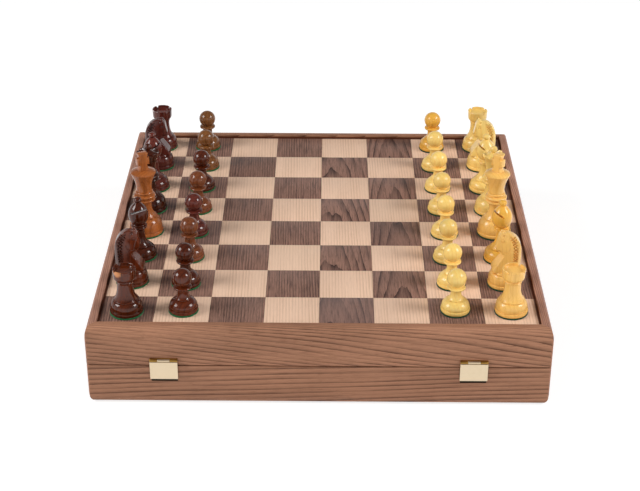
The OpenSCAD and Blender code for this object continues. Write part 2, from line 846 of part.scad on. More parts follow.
module king() {
    r = crown_d / 2;
    cross_z = king_h - cross_h;
    rim_z = cross_z - 0.8;
    half = cross_half(cross_z);
    turned(concat(
        royal(king_d, king_bell_h, king_stem_d, king_collar_d,
              king_waist_d, crown_d, crown_h, rim_z),
        [[r - 0.7, rim_z + 0.25]],
        bend([r - 0.7, rim_z + 0.25], [r * 0.8, rim_z + 1.5], [r * 0.45, rim_z + 2.1],
             [0, rim_z + 2.3], 5)
    ));
    rotate([0, 0, 30]) rotate([90, 0, 0]) linear_extrude(cross_t, center = true)
        polygon(mirrored(half));
}

// How far the men of rows 1 to 8 stand off the middle of their squares, as [x, y]
dark_off = [[-0.3, -1.8], [-1.4, 2], [0.6, 2], [0.7, 1.5],
            [0, 1], [-1.2, 0], [-0.8, 1.5], [-1.7, 0.8]];
dark_pawn_off = [[1, 1], [-0.6, -1.4], [-0.8, 0], [-0.6, -0.4],
                 [-0.6, 0], [-0.8, -0.4], [0, 0], [-2, 0.5]];
light_off = [[0, 2], [-1.9, 1.6], [-1, 0.6], [-1.5, 2.5],
             [-1, 0.4], [-3, 0], [-2, 3], [-3, 1]];
light_pawn_off = [[-0.8, 3], [-1.2, 0.4], [-2, -1], [-1.2, -1],
                  [-1.6, 0], [-2, -0.4], [-2.8, 0], [-2.6, 0]];

// Puts a man on its square: column 1 to 8 from the left, row 1 to 8 from the front
module on_square(column, row, turn) {
    offs = column == dark_column ? dark_off
         : column == dark_column + 1 ? dark_pawn_off
         : column == light_column ? light_off : light_pawn_off;
    off = offs[row - 1];
    translate([square * (column - 0.5) - inner + off[0],
               square * (row - 0.5) - inner + off[1], board_z])
        rotate([0, 0, turn]) children();
}

dark_column = 1;
light_column = squares_across;
king_row = 4;
queen_row = 5;

// The two men of one kind that a side has beside its royal pair
module officer(man) {
    if (man == "rook") rook();
    if (man == "knight") knight();
    if (man == "bishop") bishop();
}

module dark_man(column, row) {
    color("#4a2c1f") on_square(column, row, 0) children();
}

module light_man(column, row) {
    color("#e6bd6c") on_square(column, row, 180) children();
}

module dark_king() {
    dark_man(dark_column, king_row) king();
}

module dark_queen() {
    dark_man(dark_column, queen_row) queen();
}

module light_king() {
    light_man(light_column, king_row) king();
}

module light_queen() {
    light_man(light_column, queen_row) queen();
}

// ------------------------------------------------------------------- nodes

base_front_rail();
base_back_rail();
base_left_rail();
base_right_rail();
base_panel();
base_lining();
divider_left();
divider_right();
divider_cross();
lid_front_rail();
lid_back_rail();
lid_left_rail();
lid_right_rail();
board_core();
light_squares();
dark_squares();
lid_lining();
hinge_base_leaves();
hinge_lid_leaves();
hinge_pins();
latch_brackets();
latch_flap_left();
latch_flap_right();
latch_pins();
latch_keepers();
lid_screws();
base_screws();
dark_king();
dark_queen();
light_king();
light_queen();
for (place = [["rook", "front", 1], ["rook", "back", 8], ["knight", "front", 2],
              ["knight", "back", 7], ["bishop", "front", 3], ["bishop", "back", 6]]) {
    dark_man(dark_column, place[2]) officer(place[0]);
    light_man(light_column, place[2]) officer(place[0]);
}
for (row = men_rows) {
    dark_man(dark_column + 1, row) pawn();
    light_man(light_column - 1, row) pawn();
}
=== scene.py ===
"""Looks of a hinged chess case and its chessmen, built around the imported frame.

Each sub-assembly is a class that models its own pieces with edit-mode operators
and dresses them in procedural finishes. Lengths are metres unless a name ends in
_mm. Every finished piece sits at the origin with its place in its mesh.
"""

import logging
from collections.abc import Callable, Iterator, Sequence
from contextlib import contextmanager
from dataclasses import dataclass, field
from enum import Enum
from functools import cache
from math import cos, pi, radians, sin

import bmesh
import bpy
from mathutils import Matrix, Vector


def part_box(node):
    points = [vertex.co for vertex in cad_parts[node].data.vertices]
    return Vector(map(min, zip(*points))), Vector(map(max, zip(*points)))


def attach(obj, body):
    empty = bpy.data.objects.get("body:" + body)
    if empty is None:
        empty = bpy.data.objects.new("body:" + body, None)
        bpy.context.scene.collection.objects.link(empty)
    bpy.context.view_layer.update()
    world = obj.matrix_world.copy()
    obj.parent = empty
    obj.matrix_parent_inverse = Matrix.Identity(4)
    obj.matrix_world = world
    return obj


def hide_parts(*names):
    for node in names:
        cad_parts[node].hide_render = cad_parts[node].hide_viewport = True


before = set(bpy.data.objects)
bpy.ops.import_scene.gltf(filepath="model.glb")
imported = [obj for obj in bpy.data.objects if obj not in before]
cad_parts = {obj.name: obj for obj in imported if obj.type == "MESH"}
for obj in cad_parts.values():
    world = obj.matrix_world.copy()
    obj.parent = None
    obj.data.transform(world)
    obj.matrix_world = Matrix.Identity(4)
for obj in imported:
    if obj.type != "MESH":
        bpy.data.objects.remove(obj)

log = logging.getLogger("chess_case")

MM = 0.001
# Two places closer than this are the same place
NEAR = 1e-6
# The turn that lays an upright rod along X
TO_X = (0, pi / 2, 0)
# The side of a square, and half the width of the eight of them
SQUARE = 0.0452
FIELD = 0.1808
# How far apart the wave texture's rings stand at a scale of 1
WAVE_STEP = 0.31416
# Noise scales: how wood bends its rings, slowly and quickly, breaks them up and
# changes its tone
SLOW_BENDS, QUICK_BENDS, RING_BREAKS, BROAD_TONES = 16.0, 130.0, 110.0, 22.0
Point2 = tuple[float, float]
Colour = tuple[int, int, int]
Socket = bpy.types.NodeSocket
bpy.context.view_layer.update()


class Army(Enum):
    """The two sides, each with the way its men face, as a turn about Z."""

    DARK = 0.0
    LIGHT = pi


class Pick(Enum):
    """What a selection is made of."""

    VERTS = "VERT"
    EDGES = "EDGE"
    FACES = "FACE"


class Grain(Enum):
    """The way wood grain runs, as the turn that brings it upright."""

    ALONG_X = (0.0, -pi / 2, 0.0)
    ALONG_Y = (pi / 2, 0.0, 0.0)
    ALONG_Z = (0.0, 0.0, 0.0)


# ---------------------------------------------------------------- the workbench


def only(obj: bpy.types.Object) -> None:
    """Makes an object the active one and the only one that is selected."""
    bpy.ops.object.select_all(action="DESELECT")
    obj.select_set(True)
    bpy.context.view_layer.objects.active = obj


@contextmanager
def editing(obj: bpy.types.Object) -> Iterator[None]:
    """Puts one object alone in edit mode with nothing selected in it.

    Args:
        obj: the object to edit.
    """
    only(obj)
    bpy.ops.object.mode_set(mode="EDIT")
    bpy.ops.mesh.select_mode(type="VERT")
    bpy.ops.mesh.select_all(action="DESELECT")
    try:
        yield
    finally:
        bpy.ops.object.mode_set(mode="OBJECT")


def pick(obj: bpy.types.Object, kind: Pick, test: Callable[..., bool]) -> None:
    """Selects the vertices, edges or faces in edit mode that pass a test.

    Args:
        obj: the object in edit mode.
        kind: what to select.
        test: takes the mesh element and says whether it is wanted.
    """
    bpy.ops.mesh.select_all(action="DESELECT")
    bpy.ops.mesh.select_mode(type=kind.value)
    mesh = bmesh.from_edit_mesh(obj.data)
    items = {Pick.VERTS: mesh.verts, Pick.EDGES: mesh.edges, Pick.FACES: mesh.faces}
    for item in items[kind]:
        if test(item):
            item.select_set(True)
    mesh.select_flush_mode()
    bmesh.update_edit_mesh(obj.data)


def middle(edge: bmesh.types.BMEdge) -> Vector:
    """The middle of an edge."""
    return (edge.verts[0].co + edge.verts[1].co) / 2


def runs_along(edge: bmesh.types.BMEdge, axis: Vector) -> bool:
    """Whether an edge is parallel to an axis."""
    way = edge.verts[1].co - edge.verts[0].co
    return way.length > 0 and abs(way.normalized().dot(axis)) > 0.999


def active(name: str) -> bpy.types.Object:
    """Names the object that was just added and puts its place in its mesh."""
    obj = bpy.context.active_object
    obj.name = obj.data.name = name
    only(obj)
    bpy.ops.object.transform_apply(location=True, rotation=True, scale=True)
    return obj


def turned(angles: Sequence[float]) -> Matrix:
    """The turn that Euler angles stand for: about X, then Y, then Z."""
    turn = Matrix.Identity(4)
    for letter, angle in zip("XYZ", angles):
        turn = Matrix.Rotation(angle, 4, letter) @ turn
    return turn


def block(name: str, low: Sequence[float], high: Sequence[float]) -> bpy.types.Object:
    """A cuboid between two corners, as the start of a piece.

    Args:
        name: the piece's name.
        low: its lowest corner.
        high: its highest corner.

    Returns:
        The new object.
    """
    low, high = Vector(low), Vector(high)
    bpy.ops.object.select_all(action="DESELECT")
    bpy.ops.mesh.primitive_cube_add(size=1, location=(low + high) / 2, scale=high - low)
    return active(name)


def rod(
    name: str, start: Vector, length: float, radius: float, turn: Sequence[float],
    sides: int = 32,
) -> bpy.types.Object:
    """A cylinder that starts at a point, as the start of a piece.

    Args:
        name: the piece's name.
        start: the middle of its first end.
        length: its length.
        radius: its radius.
        turn: Euler angles that bring +Z to its axis.
        sides: how many sides approximate the circle.

    Returns:
        The new object.
    """
    bpy.ops.object.select_all(action="DESELECT")
    bpy.ops.mesh.primitive_cylinder_add(
        vertices=sides, radius=radius, depth=length, rotation=turn,
        location=Vector(start) + turned(turn) @ Vector((0, 0, length / 2)),
    )
    return active(name)


def trace(name: str, points: Sequence[Vector]) -> bpy.types.Object:
    """Draws a line of edges by extruding one vertex from point to point.

    Args:
        name: the new object's name.
        points: the places that the line passes through.

    Returns:
        The new object, with no faces yet.
    """
    bpy.ops.object.select_all(action="DESELECT")
    bpy.ops.mesh.primitive_plane_add(size=MM, location=points[0])
    obj = active(name)
    with editing(obj):
        bpy.ops.mesh.select_all(action="SELECT")
        bpy.ops.mesh.merge(type="CENTER")
        for here, there in zip(points, points[1:]):
            bpy.ops.mesh.extrude_region_move(
                TRANSFORM_OT_translate={"value": there - here}
            )
    return obj


def clean(obj: bpy.types.Object, near: float = 2e-6) -> None:
    """Merges doubles and points the faces outwards.

    Args:
        obj: the object to clean.
        near: vertices closer than this are merged.
    """
    with editing(obj):
        bpy.ops.mesh.select_all(action="SELECT")
        bpy.ops.mesh.remove_doubles(threshold=near)
        bpy.ops.mesh.normals_make_consistent(inside=False)


def slab(name: str, points: Sequence[Vector], depth: Vector) -> bpy.types.Object:
    """A plate of any outline: the outline is drawn, filled and extruded.

    Args:
        name: the new object's name.
        points: the corners of the outline, in order.
        depth: how far, and which way, the filled outline is extruded.

    Returns:
        The new object.
    """
    obj = trace(name, points)
    last = len(points) - 1
    with editing(obj):
        pick(obj, Pick.VERTS, lambda v: v.index in (0, last))
        bpy.ops.mesh.edge_face_add()
        bpy.ops.mesh.select_all(action="SELECT")
        bpy.ops.mesh.edge_face_add()
        bpy.ops.mesh.extrude_region_move(TRANSFORM_OT_translate={"value": depth})
    clean(obj)
    return obj


def lathe(name: str, outline_mm: Sequence[Point2], steps: int = 72) -> bpy.types.Object:
    """Turns a half outline about the Z axis.

    Args:
        name: the new object's name.
        outline_mm: (radius, height) pairs that start and end on the axis.
        steps: how many steps make the full turn.

    Returns:
        The new object, standing on the origin.
    """
    obj = trace(name, [Vector((r * MM, 0, z * MM)) for r, z in outline_mm])
    with editing(obj):
        bpy.ops.mesh.select_all(action="SELECT")
        bpy.ops.mesh.spin(steps=steps, angle=2 * pi, center=(0, 0, 0), axis=(0, 0, 1))
    clean(obj)
    return obj


def bisect(
    obj: bpy.types.Object, at: Sequence[float], away: Sequence[float]
) -> None:
    """Cuts off what lies beyond a plane and closes the cut.

    Args:
        obj: the object to cut.
        at: a point on the plane.
        away: the plane's normal, on the side that goes.
    """
    with editing(obj):
        bpy.ops.mesh.select_all(action="SELECT")
        bpy.ops.mesh.bisect(
            plane_co=at, plane_no=Vector(away).normalized(), use_fill=True,
            clear_outer=True, threshold=1e-7,
        )


def ease(
    obj: bpy.types.Object, width: float, test: Callable[..., bool] | None = None,
    segments: int = 2,
) -> None:
    """Bevels edges: those that pass a test, or every sharp edge.

    Args:
        obj: the object to shape.
        width: the width of the bevel.
        test: takes an edge and says whether it is bevelled.
        segments: how many faces make up the bevel.
    """
    sharp = radians(30)
    wanted = test or (lambda e: len(e.link_faces) == 2 and e.calc_face_angle(0) > sharp)
    with editing(obj):
        pick(obj, Pick.EDGES, wanted)
        bpy.ops.mesh.bevel(offset=width, segments=segments, affect="EDGES")


def modify(obj: bpy.types.Object, kind: str, **settings: object) -> None:
    """Adds a modifier to an object and applies it.

    Args:
        obj: the object.
        kind: the modifier's type.
        settings: its values.
    """
    only(obj)
    modifier = obj.modifiers.new(kind.title(), kind)
    for key, value in settings.items():
        setattr(modifier, key, value)
    bpy.ops.object.modifier_apply(modifier=modifier.name)


def join(parts: Sequence[bpy.types.Object], name: str) -> bpy.types.Object:
    """Joins objects into one.

    Args:
        parts: the objects; the first one keeps its place.
        name: the joined object's name.

    Returns:
        The joined object.
    """
    bpy.ops.object.select_all(action="DESELECT")
    for part in parts:
        part.select_set(True)
    bpy.context.view_layer.objects.active = parts[0]
    if len(parts) > 1:
        bpy.ops.object.join()
    parts[0].name = parts[0].data.name = name
    return parts[0]


def combine(
    obj: bpy.types.Object, tools: Sequence[bpy.types.Object], how: str = "DIFFERENCE"
) -> None:
    """Cuts, adds or intersects solids with another solid, and removes them.

    Args:
        obj: the solid that stays.
        tools: the solids that shape it.
        how: DIFFERENCE, UNION or INTERSECT.
    """
    tool = join(tools, "tool")
    modify(obj, "BOOLEAN", operation=how, solver="EXACT", use_self=len(tools) > 1,
           object=tool)
    bpy.data.objects.remove(tool)


def copy_to(
    obj: bpy.types.Object, name: str, at: Sequence[float] = (0, 0, 0),
    turn: float = 0.0,
) -> bpy.types.Object:
    """Copies an object with its own mesh, turned about Z and then moved.

    Args:
        obj: the object to copy.
        name: the copy's name.
        at: how far the copy is moved.
        turn: how far it is turned about Z, in radians.

    Returns:
        The copy, with its place in its mesh.
    """
    made = obj.copy()
    made.data = obj.data.copy()
    made.name = made.data.name = name
    bpy.context.scene.collection.objects.link(made)
    made.data.transform(Matrix.Translation(Vector(at)) @ Matrix.Rotation(turn, 4, "Z"))
    return made


def smooth(obj: bpy.types.Object, degrees: float = 38.0) -> None:
    """Shades an object smooth, except at edges sharper than an angle."""
    only(obj)
    bpy.ops.object.shade_smooth_by_angle(angle=radians(degrees))


def finish(
    obj: bpy.types.Object, body: str, look: "Finish", nodes: Sequence[str] = (),
    degrees: float = 38.0,
) -> bpy.types.Object:
    """Dresses a finished piece and fixes it to its body.

    Args:
        obj: the piece.
        body: the CAD body that it moves with.
        look: its finish.
        nodes: the CAD nodes that it stands for.
        degrees: edges sharper than this stay sharp.

    Returns:
        The piece.
    """
    smooth(obj, degrees)
    obj.data.materials.clear()
    obj.data.materials.append(look.material())
    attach(obj, body)
    if nodes:
        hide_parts(*nodes)
    log.info("%s: %d faces, rides on %s", obj.name, len(obj.data.polygons), body)
    return obj


# --------------------------------------------------------------------- outlines


def oval(
    cx: float, cy: float, rx: float, ry: float, start: float, end: float,
    steps: int = 12,
) -> list[Point2]:
    """Points on an ellipse's arc.

    Args:
        cx: the centre's first coordinate.
        cy: its second coordinate.
        rx: the first radius.
        ry: the second radius.
        start: the first angle, in degrees.
        end: the last angle.
        steps: how many steps the arc takes.

    Returns:
        The points, both ends included.
    """
    turns = [radians(start + (end - start) * i / steps) for i in range(steps + 1)]
    return [(cx + rx * cos(a), cy + ry * sin(a)) for a in turns]


def bend(
    p0: Point2, p1: Point2, p2: Point2, p3: Point2, steps: int = 10
) -> list[Point2]:
    """Points on a Bezier curve after its first point.

    Args:
        p0: the curve's first point.
        p1: its first handle.
        p2: its second handle.
        p3: its last point.
        steps: how many steps the curve takes.

    Returns:
        The points after p0.
    """
    points = []
    for i in range(1, steps + 1):
        t, u = i / steps, 1 - i / steps
        w = (u**3, 3 * u * u * t, 3 * u * t * t, t**3)
        points.append(
            tuple(sum(k * p[j] for k, p in zip(w, (p0, p1, p2, p3))) for j in (0, 1))
        )
    return points


def bead(r: float, z: float, t: float) -> list[Point2]:
    """A turned bead of thickness t, at its widest at radius r, standing on z."""
    return oval(r - t / 2, z + t / 2, t / 2, t / 2, -90, 90, 8)


def neck(
    r0: float, z0: float, r: float, z: float, r1: float, z1: float
) -> list[Point2]:
    """A slender neck from radius r0 at z0, in to r at z and out to r1 at z1."""
    return [(r0, z0)] + bend(
        (r0, z0), (r0 - (r0 - r) * 0.75, z0 + (z - z0) * 0.25),
        (r, z0 + (z - z0) * 0.55), (r, z), 12,
    ) + bend(
        (r, z), (r, z + (z1 - z) * 0.45),
        (r1 - (r1 - r) * 0.7, z1 - (z1 - z) * 0.2), (r1, z1), 8,
    )


# -------------------------------------------------------------------- materials


def linear(colour: Colour) -> tuple[float, float, float, float]:
    """A colour as written on a screen, 0 to 255, as the renderer's linear value."""
    parts = [c / 255 for c in colour]
    return (*[p / 12.92 if p <= 0.04045 else ((p + 0.055) / 1.055) ** 2.4
              for p in parts], 1.0)


class Graph:
    """Adds and joins the nodes of one node tree."""

    def __init__(self, tree: bpy.types.NodeTree) -> None:
        """Keeps the tree that the nodes go into."""
        self.tree = tree

    def add(
        self, kind: str, inputs: dict | None = None, **settings: object
    ) -> bpy.types.Node:
        """Adds a node.

        Args:
            kind: the node's type, without its ShaderNode prefix.
            inputs: values or sockets for its inputs, by name or number.
            settings: its other values.

        Returns:
            The node.
        """
        node = self.tree.nodes.new("ShaderNode" + kind)
        for key, value in settings.items():
            setattr(node, key, value)
        for key, value in (inputs or {}).items():
            if isinstance(value, Socket):
                self.tree.links.new(value, node.inputs[key])
            else:
                node.inputs[key].default_value = value
        return node

    def math(self, how: str, a: object, b: object = 0.0, clamp: bool = False) -> Socket:
        """A sum, product or other operation on two numbers."""
        return self.add("Math", {0: a, 1: b}, operation=how, use_clamp=clamp).outputs[0]

    def shift(self, how: str, a: object, b: object = (0, 0, 0)) -> Socket:
        """An operation on two vectors."""
        return self.add("VectorMath", {0: a, 1: b}, operation=how).outputs[0]

    def stretch(self, vector: object, by: object) -> Socket:
        """A vector times a number."""
        node = self.add("VectorMath", {0: vector, "Scale": by}, operation="SCALE")
        return node.outputs[0]

    def mix(self, share: object, a: object, b: object, how: str = "MIX") -> Socket:
        """A mixture of two colours."""
        node = self.add("Mix", {0: share, 6: a, 7: b}, data_type="RGBA", blend_type=how)
        return node.outputs[2]

    def span(self, value: object, low: float, high: float, to_low: float = 0.0,
             to_high: float = 1.0) -> Socket:
        """Maps the values from low to high onto another range, and clamps them."""
        return self.add("MapRange", {0: value, 1: low, 2: high, 3: to_low, 4: to_high},
                        clamp=True).outputs[0]

    def noise(self, vector: object, scale: float, detail: float = 2.0,
              roughness: float = 0.5, colour: bool = False) -> Socket:
        """A noise texture's value, or its colour."""
        node = self.add("TexNoise", {"Vector": vector, "Scale": scale, "Detail": detail,
                                     "Roughness": roughness})
        return node.outputs["Color" if colour else 0]


def new_group(
    name: str, inputs: Sequence[tuple[str, str]], outputs: Sequence[tuple[str, str]]
) -> tuple[Graph, bpy.types.Node, bpy.types.Node]:
    """Starts a shader node group.

    Args:
        name: the group's name.
        inputs: (name, kind) of each input, with kind Float, Vector or Color.
        outputs: the same for each output.

    Returns:
        The group's graph, its input node and its output node.
    """
    tree = bpy.data.node_groups.new(name, "ShaderNodeTree")
    for way, sockets in (("INPUT", inputs), ("OUTPUT", outputs)):
        for label, kind in sockets:
            tree.interface.new_socket(
                name=label, in_out=way, socket_type="NodeSocket" + kind
            )
    return Graph(tree), tree.nodes.new("NodeGroupInput"), tree.nodes.new("NodeGroupOutput")


def use_group(graph: Graph, tree: bpy.types.NodeTree, inputs: dict) -> bpy.types.Node:
    """Places a node group in a material.

    Args:
        graph: the material's graph.
        tree: the group.
        inputs: values or sockets for its inputs.

    Returns:
        The group's node.
    """
    return graph.add("Group", inputs, node_tree=tree)


@cache
def wood_grain() -> bpy.types.NodeTree:
    """Growth rings, fibres and pores of wood whose grain runs along Z."""
    g, start, end = new_group(
        "wood grain",
        [("Vector", "Vector"), ("Ring Gap", "Float"), ("Ring Edge", "Float"),
         ("Wobble", "Float"), ("Warp", "Float"), ("Fibre Gap", "Float"),
         ("Pore Size", "Float")],
        [("Rings", "Float"), ("Fibres", "Float"), ("Pores", "Float"), ("Height", "Float")],
    )
    place = start.outputs["Vector"]
    slow = g.noise(g.shift("MULTIPLY", place, (1, 1, 0.16)), SLOW_BENDS, colour=True)
    warped = g.shift("ADD", place, g.stretch(
        g.shift("SUBTRACT", slow, (0.5, 0.5, 0.5)), start.outputs["Warp"]))
    quick = g.noise(g.shift("MULTIPLY", place, (1, 1, 0.06)), QUICK_BENDS, colour=True)
    warped = g.shift("ADD", warped, g.stretch(
        g.shift("SUBTRACT", quick, (0.5, 0.5, 0.5)),
        g.math("MULTIPLY", start.outputs["Ring Gap"], start.outputs["Wobble"])))
    wave = g.add(
        "TexWave",
        {"Vector": warped, "Distortion": 0.0,
         "Scale": g.math("DIVIDE", WAVE_STEP, start.outputs["Ring Gap"])},
        wave_type="RINGS", rings_direction="Z", wave_profile="SAW",
    )
    breaks = g.noise(g.shift("MULTIPLY", place, (1, 1, 0.08)), RING_BREAKS)
    strength = g.span(breaks, 0.36, 0.56, 0.3, 1.0)
    rings = g.math("MULTIPLY", g.math("POWER", wave.outputs[1],
                                      start.outputs["Ring Edge"]), strength)
    gap = g.math("DIVIDE", 1.0, start.outputs["Fibre Gap"])
    thin = g.stretch(g.shift("MULTIPLY", warped, (1, 1, 0.012)), gap)
    fibres = g.span(g.noise(thin, 1.0, 4.0, 0.62), 0.34, 0.68)
    fine = g.stretch(g.shift("MULTIPLY", place, (1, 1, 0.045)),
                     g.math("DIVIDE", 1.0, start.outputs["Pore Size"]))
    pores = g.span(g.noise(fine, 1.0, 1.0, 0.5), 0.60, 0.70)
    height = g.math("SUBTRACT", g.math("MULTIPLY", fibres, 0.45), pores)
    for label, value in (("Rings", rings), ("Fibres", fibres),
                         ("Pores", pores), ("Height", height)):
        g.tree.links.new(value, end.inputs[label])
    return g.tree


@cache
def square_change() -> bpy.types.NodeTree:
    """Where each column's veneer is cut from, and a chance tone for each square."""
    g, start, end = new_group(
        "square change", [("Vector", "Vector"), ("Side", "Float"), ("Crown Cut", "Float")],
        [("Shift", "Vector"), ("Tone", "Float"), ("Tint", "Float")],
    )
    side = start.outputs["Side"]
    cells = g.stretch(start.outputs["Vector"], g.math("DIVIDE", 1.0, side))
    index = g.shift("FLOOR", g.shift("MULTIPLY", cells, (1, 1, 0)))
    chance = g.add("TexWhiteNoise", {"Vector": index}, noise_dimensions="3D")
    parts = g.add("SeparateXYZ", {0: chance.outputs["Color"]})
    column = g.add("SeparateXYZ", {0: index}).outputs[0]
    leaf = g.add("TexWhiteNoise", {"W": column}, noise_dimensions="1D").outputs[0]
    flat = g.math("MULTIPLY", start.outputs["Crown Cut"], g.add(
        "Math", {0: column, 1: 0.5, 2: 0.6}, operation="COMPARE").outputs[0])
    centre = g.math("MULTIPLY", g.math("ADD", column, 0.5), side)
    near = g.math("ADD", g.math("MULTIPLY", centre, -1.0),
                  g.math("MULTIPLY", g.math("SUBTRACT", leaf, 0.35), 0.02))
    far = g.math("ADD", 0.4, g.math("MULTIPLY", leaf, 0.3))
    across = g.add("Mix", {0: flat, 2: far, 3: near}, data_type="FLOAT").outputs[0]
    depth = g.math("MULTIPLY", flat, 0.035)
    shift = g.add("CombineXYZ", {0: across, 1: depth, 2: g.math("MULTIPLY", leaf, 1.3)})
    g.tree.links.new(shift.outputs[0], end.inputs["Shift"])
    g.tree.links.new(parts.outputs[0], end.inputs["Tone"])
    g.tree.links.new(parts.outputs[1], end.inputs["Tint"])
    return g.tree


@cache
def edge_wear() -> bpy.types.NodeTree:
    """A mask of rubbed edges, broken up by noise."""
    g, start, end = new_group(
        "edge wear", [("Vector", "Vector"), ("Patch Scale", "Float")], [("Mask", "Float")]
    )
    sharp = g.add("NewGeometry").outputs["Pointiness"]
    edge = g.span(sharp, 0.515, 0.60)
    patches = g.add("TexNoise", {"Vector": start.outputs["Vector"],
                                 "Scale": start.outputs["Patch Scale"], "Detail": 3.0})
    mask = g.math("MULTIPLY", edge, g.span(patches.outputs[0], 0.35, 0.65), True)
    g.tree.links.new(mask, end.inputs["Mask"])
    return g.tree


@cache
def handling() -> bpy.types.NodeTree:
    """Soft patches of duller and brighter sheen from dust and hands."""
    g, start, end = new_group(
        "handling", [("Vector", "Vector"), ("Scale", "Float")],
        [("Patches", "Float")],
    )
    large = g.add("TexNoise", {"Vector": start.outputs["Vector"],
                               "Scale": start.outputs["Scale"], "Detail": 3.0})
    g.tree.links.new(g.span(large.outputs[0], 0.3, 0.7), end.inputs["Patches"])
    return g.tree


@dataclass(frozen=True)
class Finish:
    """What every finish has: a name and the record's slot that it belongs to."""

    name: str
    slot: str

    def material(self) -> bpy.types.Material:
        """The finish's material, built on first use."""
        found = bpy.data.materials.get(self.name)
        return found or self.build()

    def start(self) -> tuple[bpy.types.Material, Graph, Socket]:
        """Starts the material.

        Returns:
            The material, its graph and its Object coordinates.
        """
        made = bpy.data.materials.new(self.name)
        made.use_nodes = True
        made.node_tree.nodes.clear()
        graph = Graph(made.node_tree)
        return made, graph, graph.add("TexCoord").outputs["Object"]

    def shade(self, graph: Graph, inputs: dict) -> None:
        """Ends the material in one Principled shader.

        Args:
            graph: the material's graph.
            inputs: values or sockets for the shader.
        """
        shader = graph.add("BsdfPrincipled", inputs)
        end = graph.add("OutputMaterial")
        graph.tree.links.new(shader.outputs[0], end.inputs["Surface"])

    def build(self) -> bpy.types.Material:
        """Builds the material. Each kind of finish has its own way."""
        raise NotImplementedError


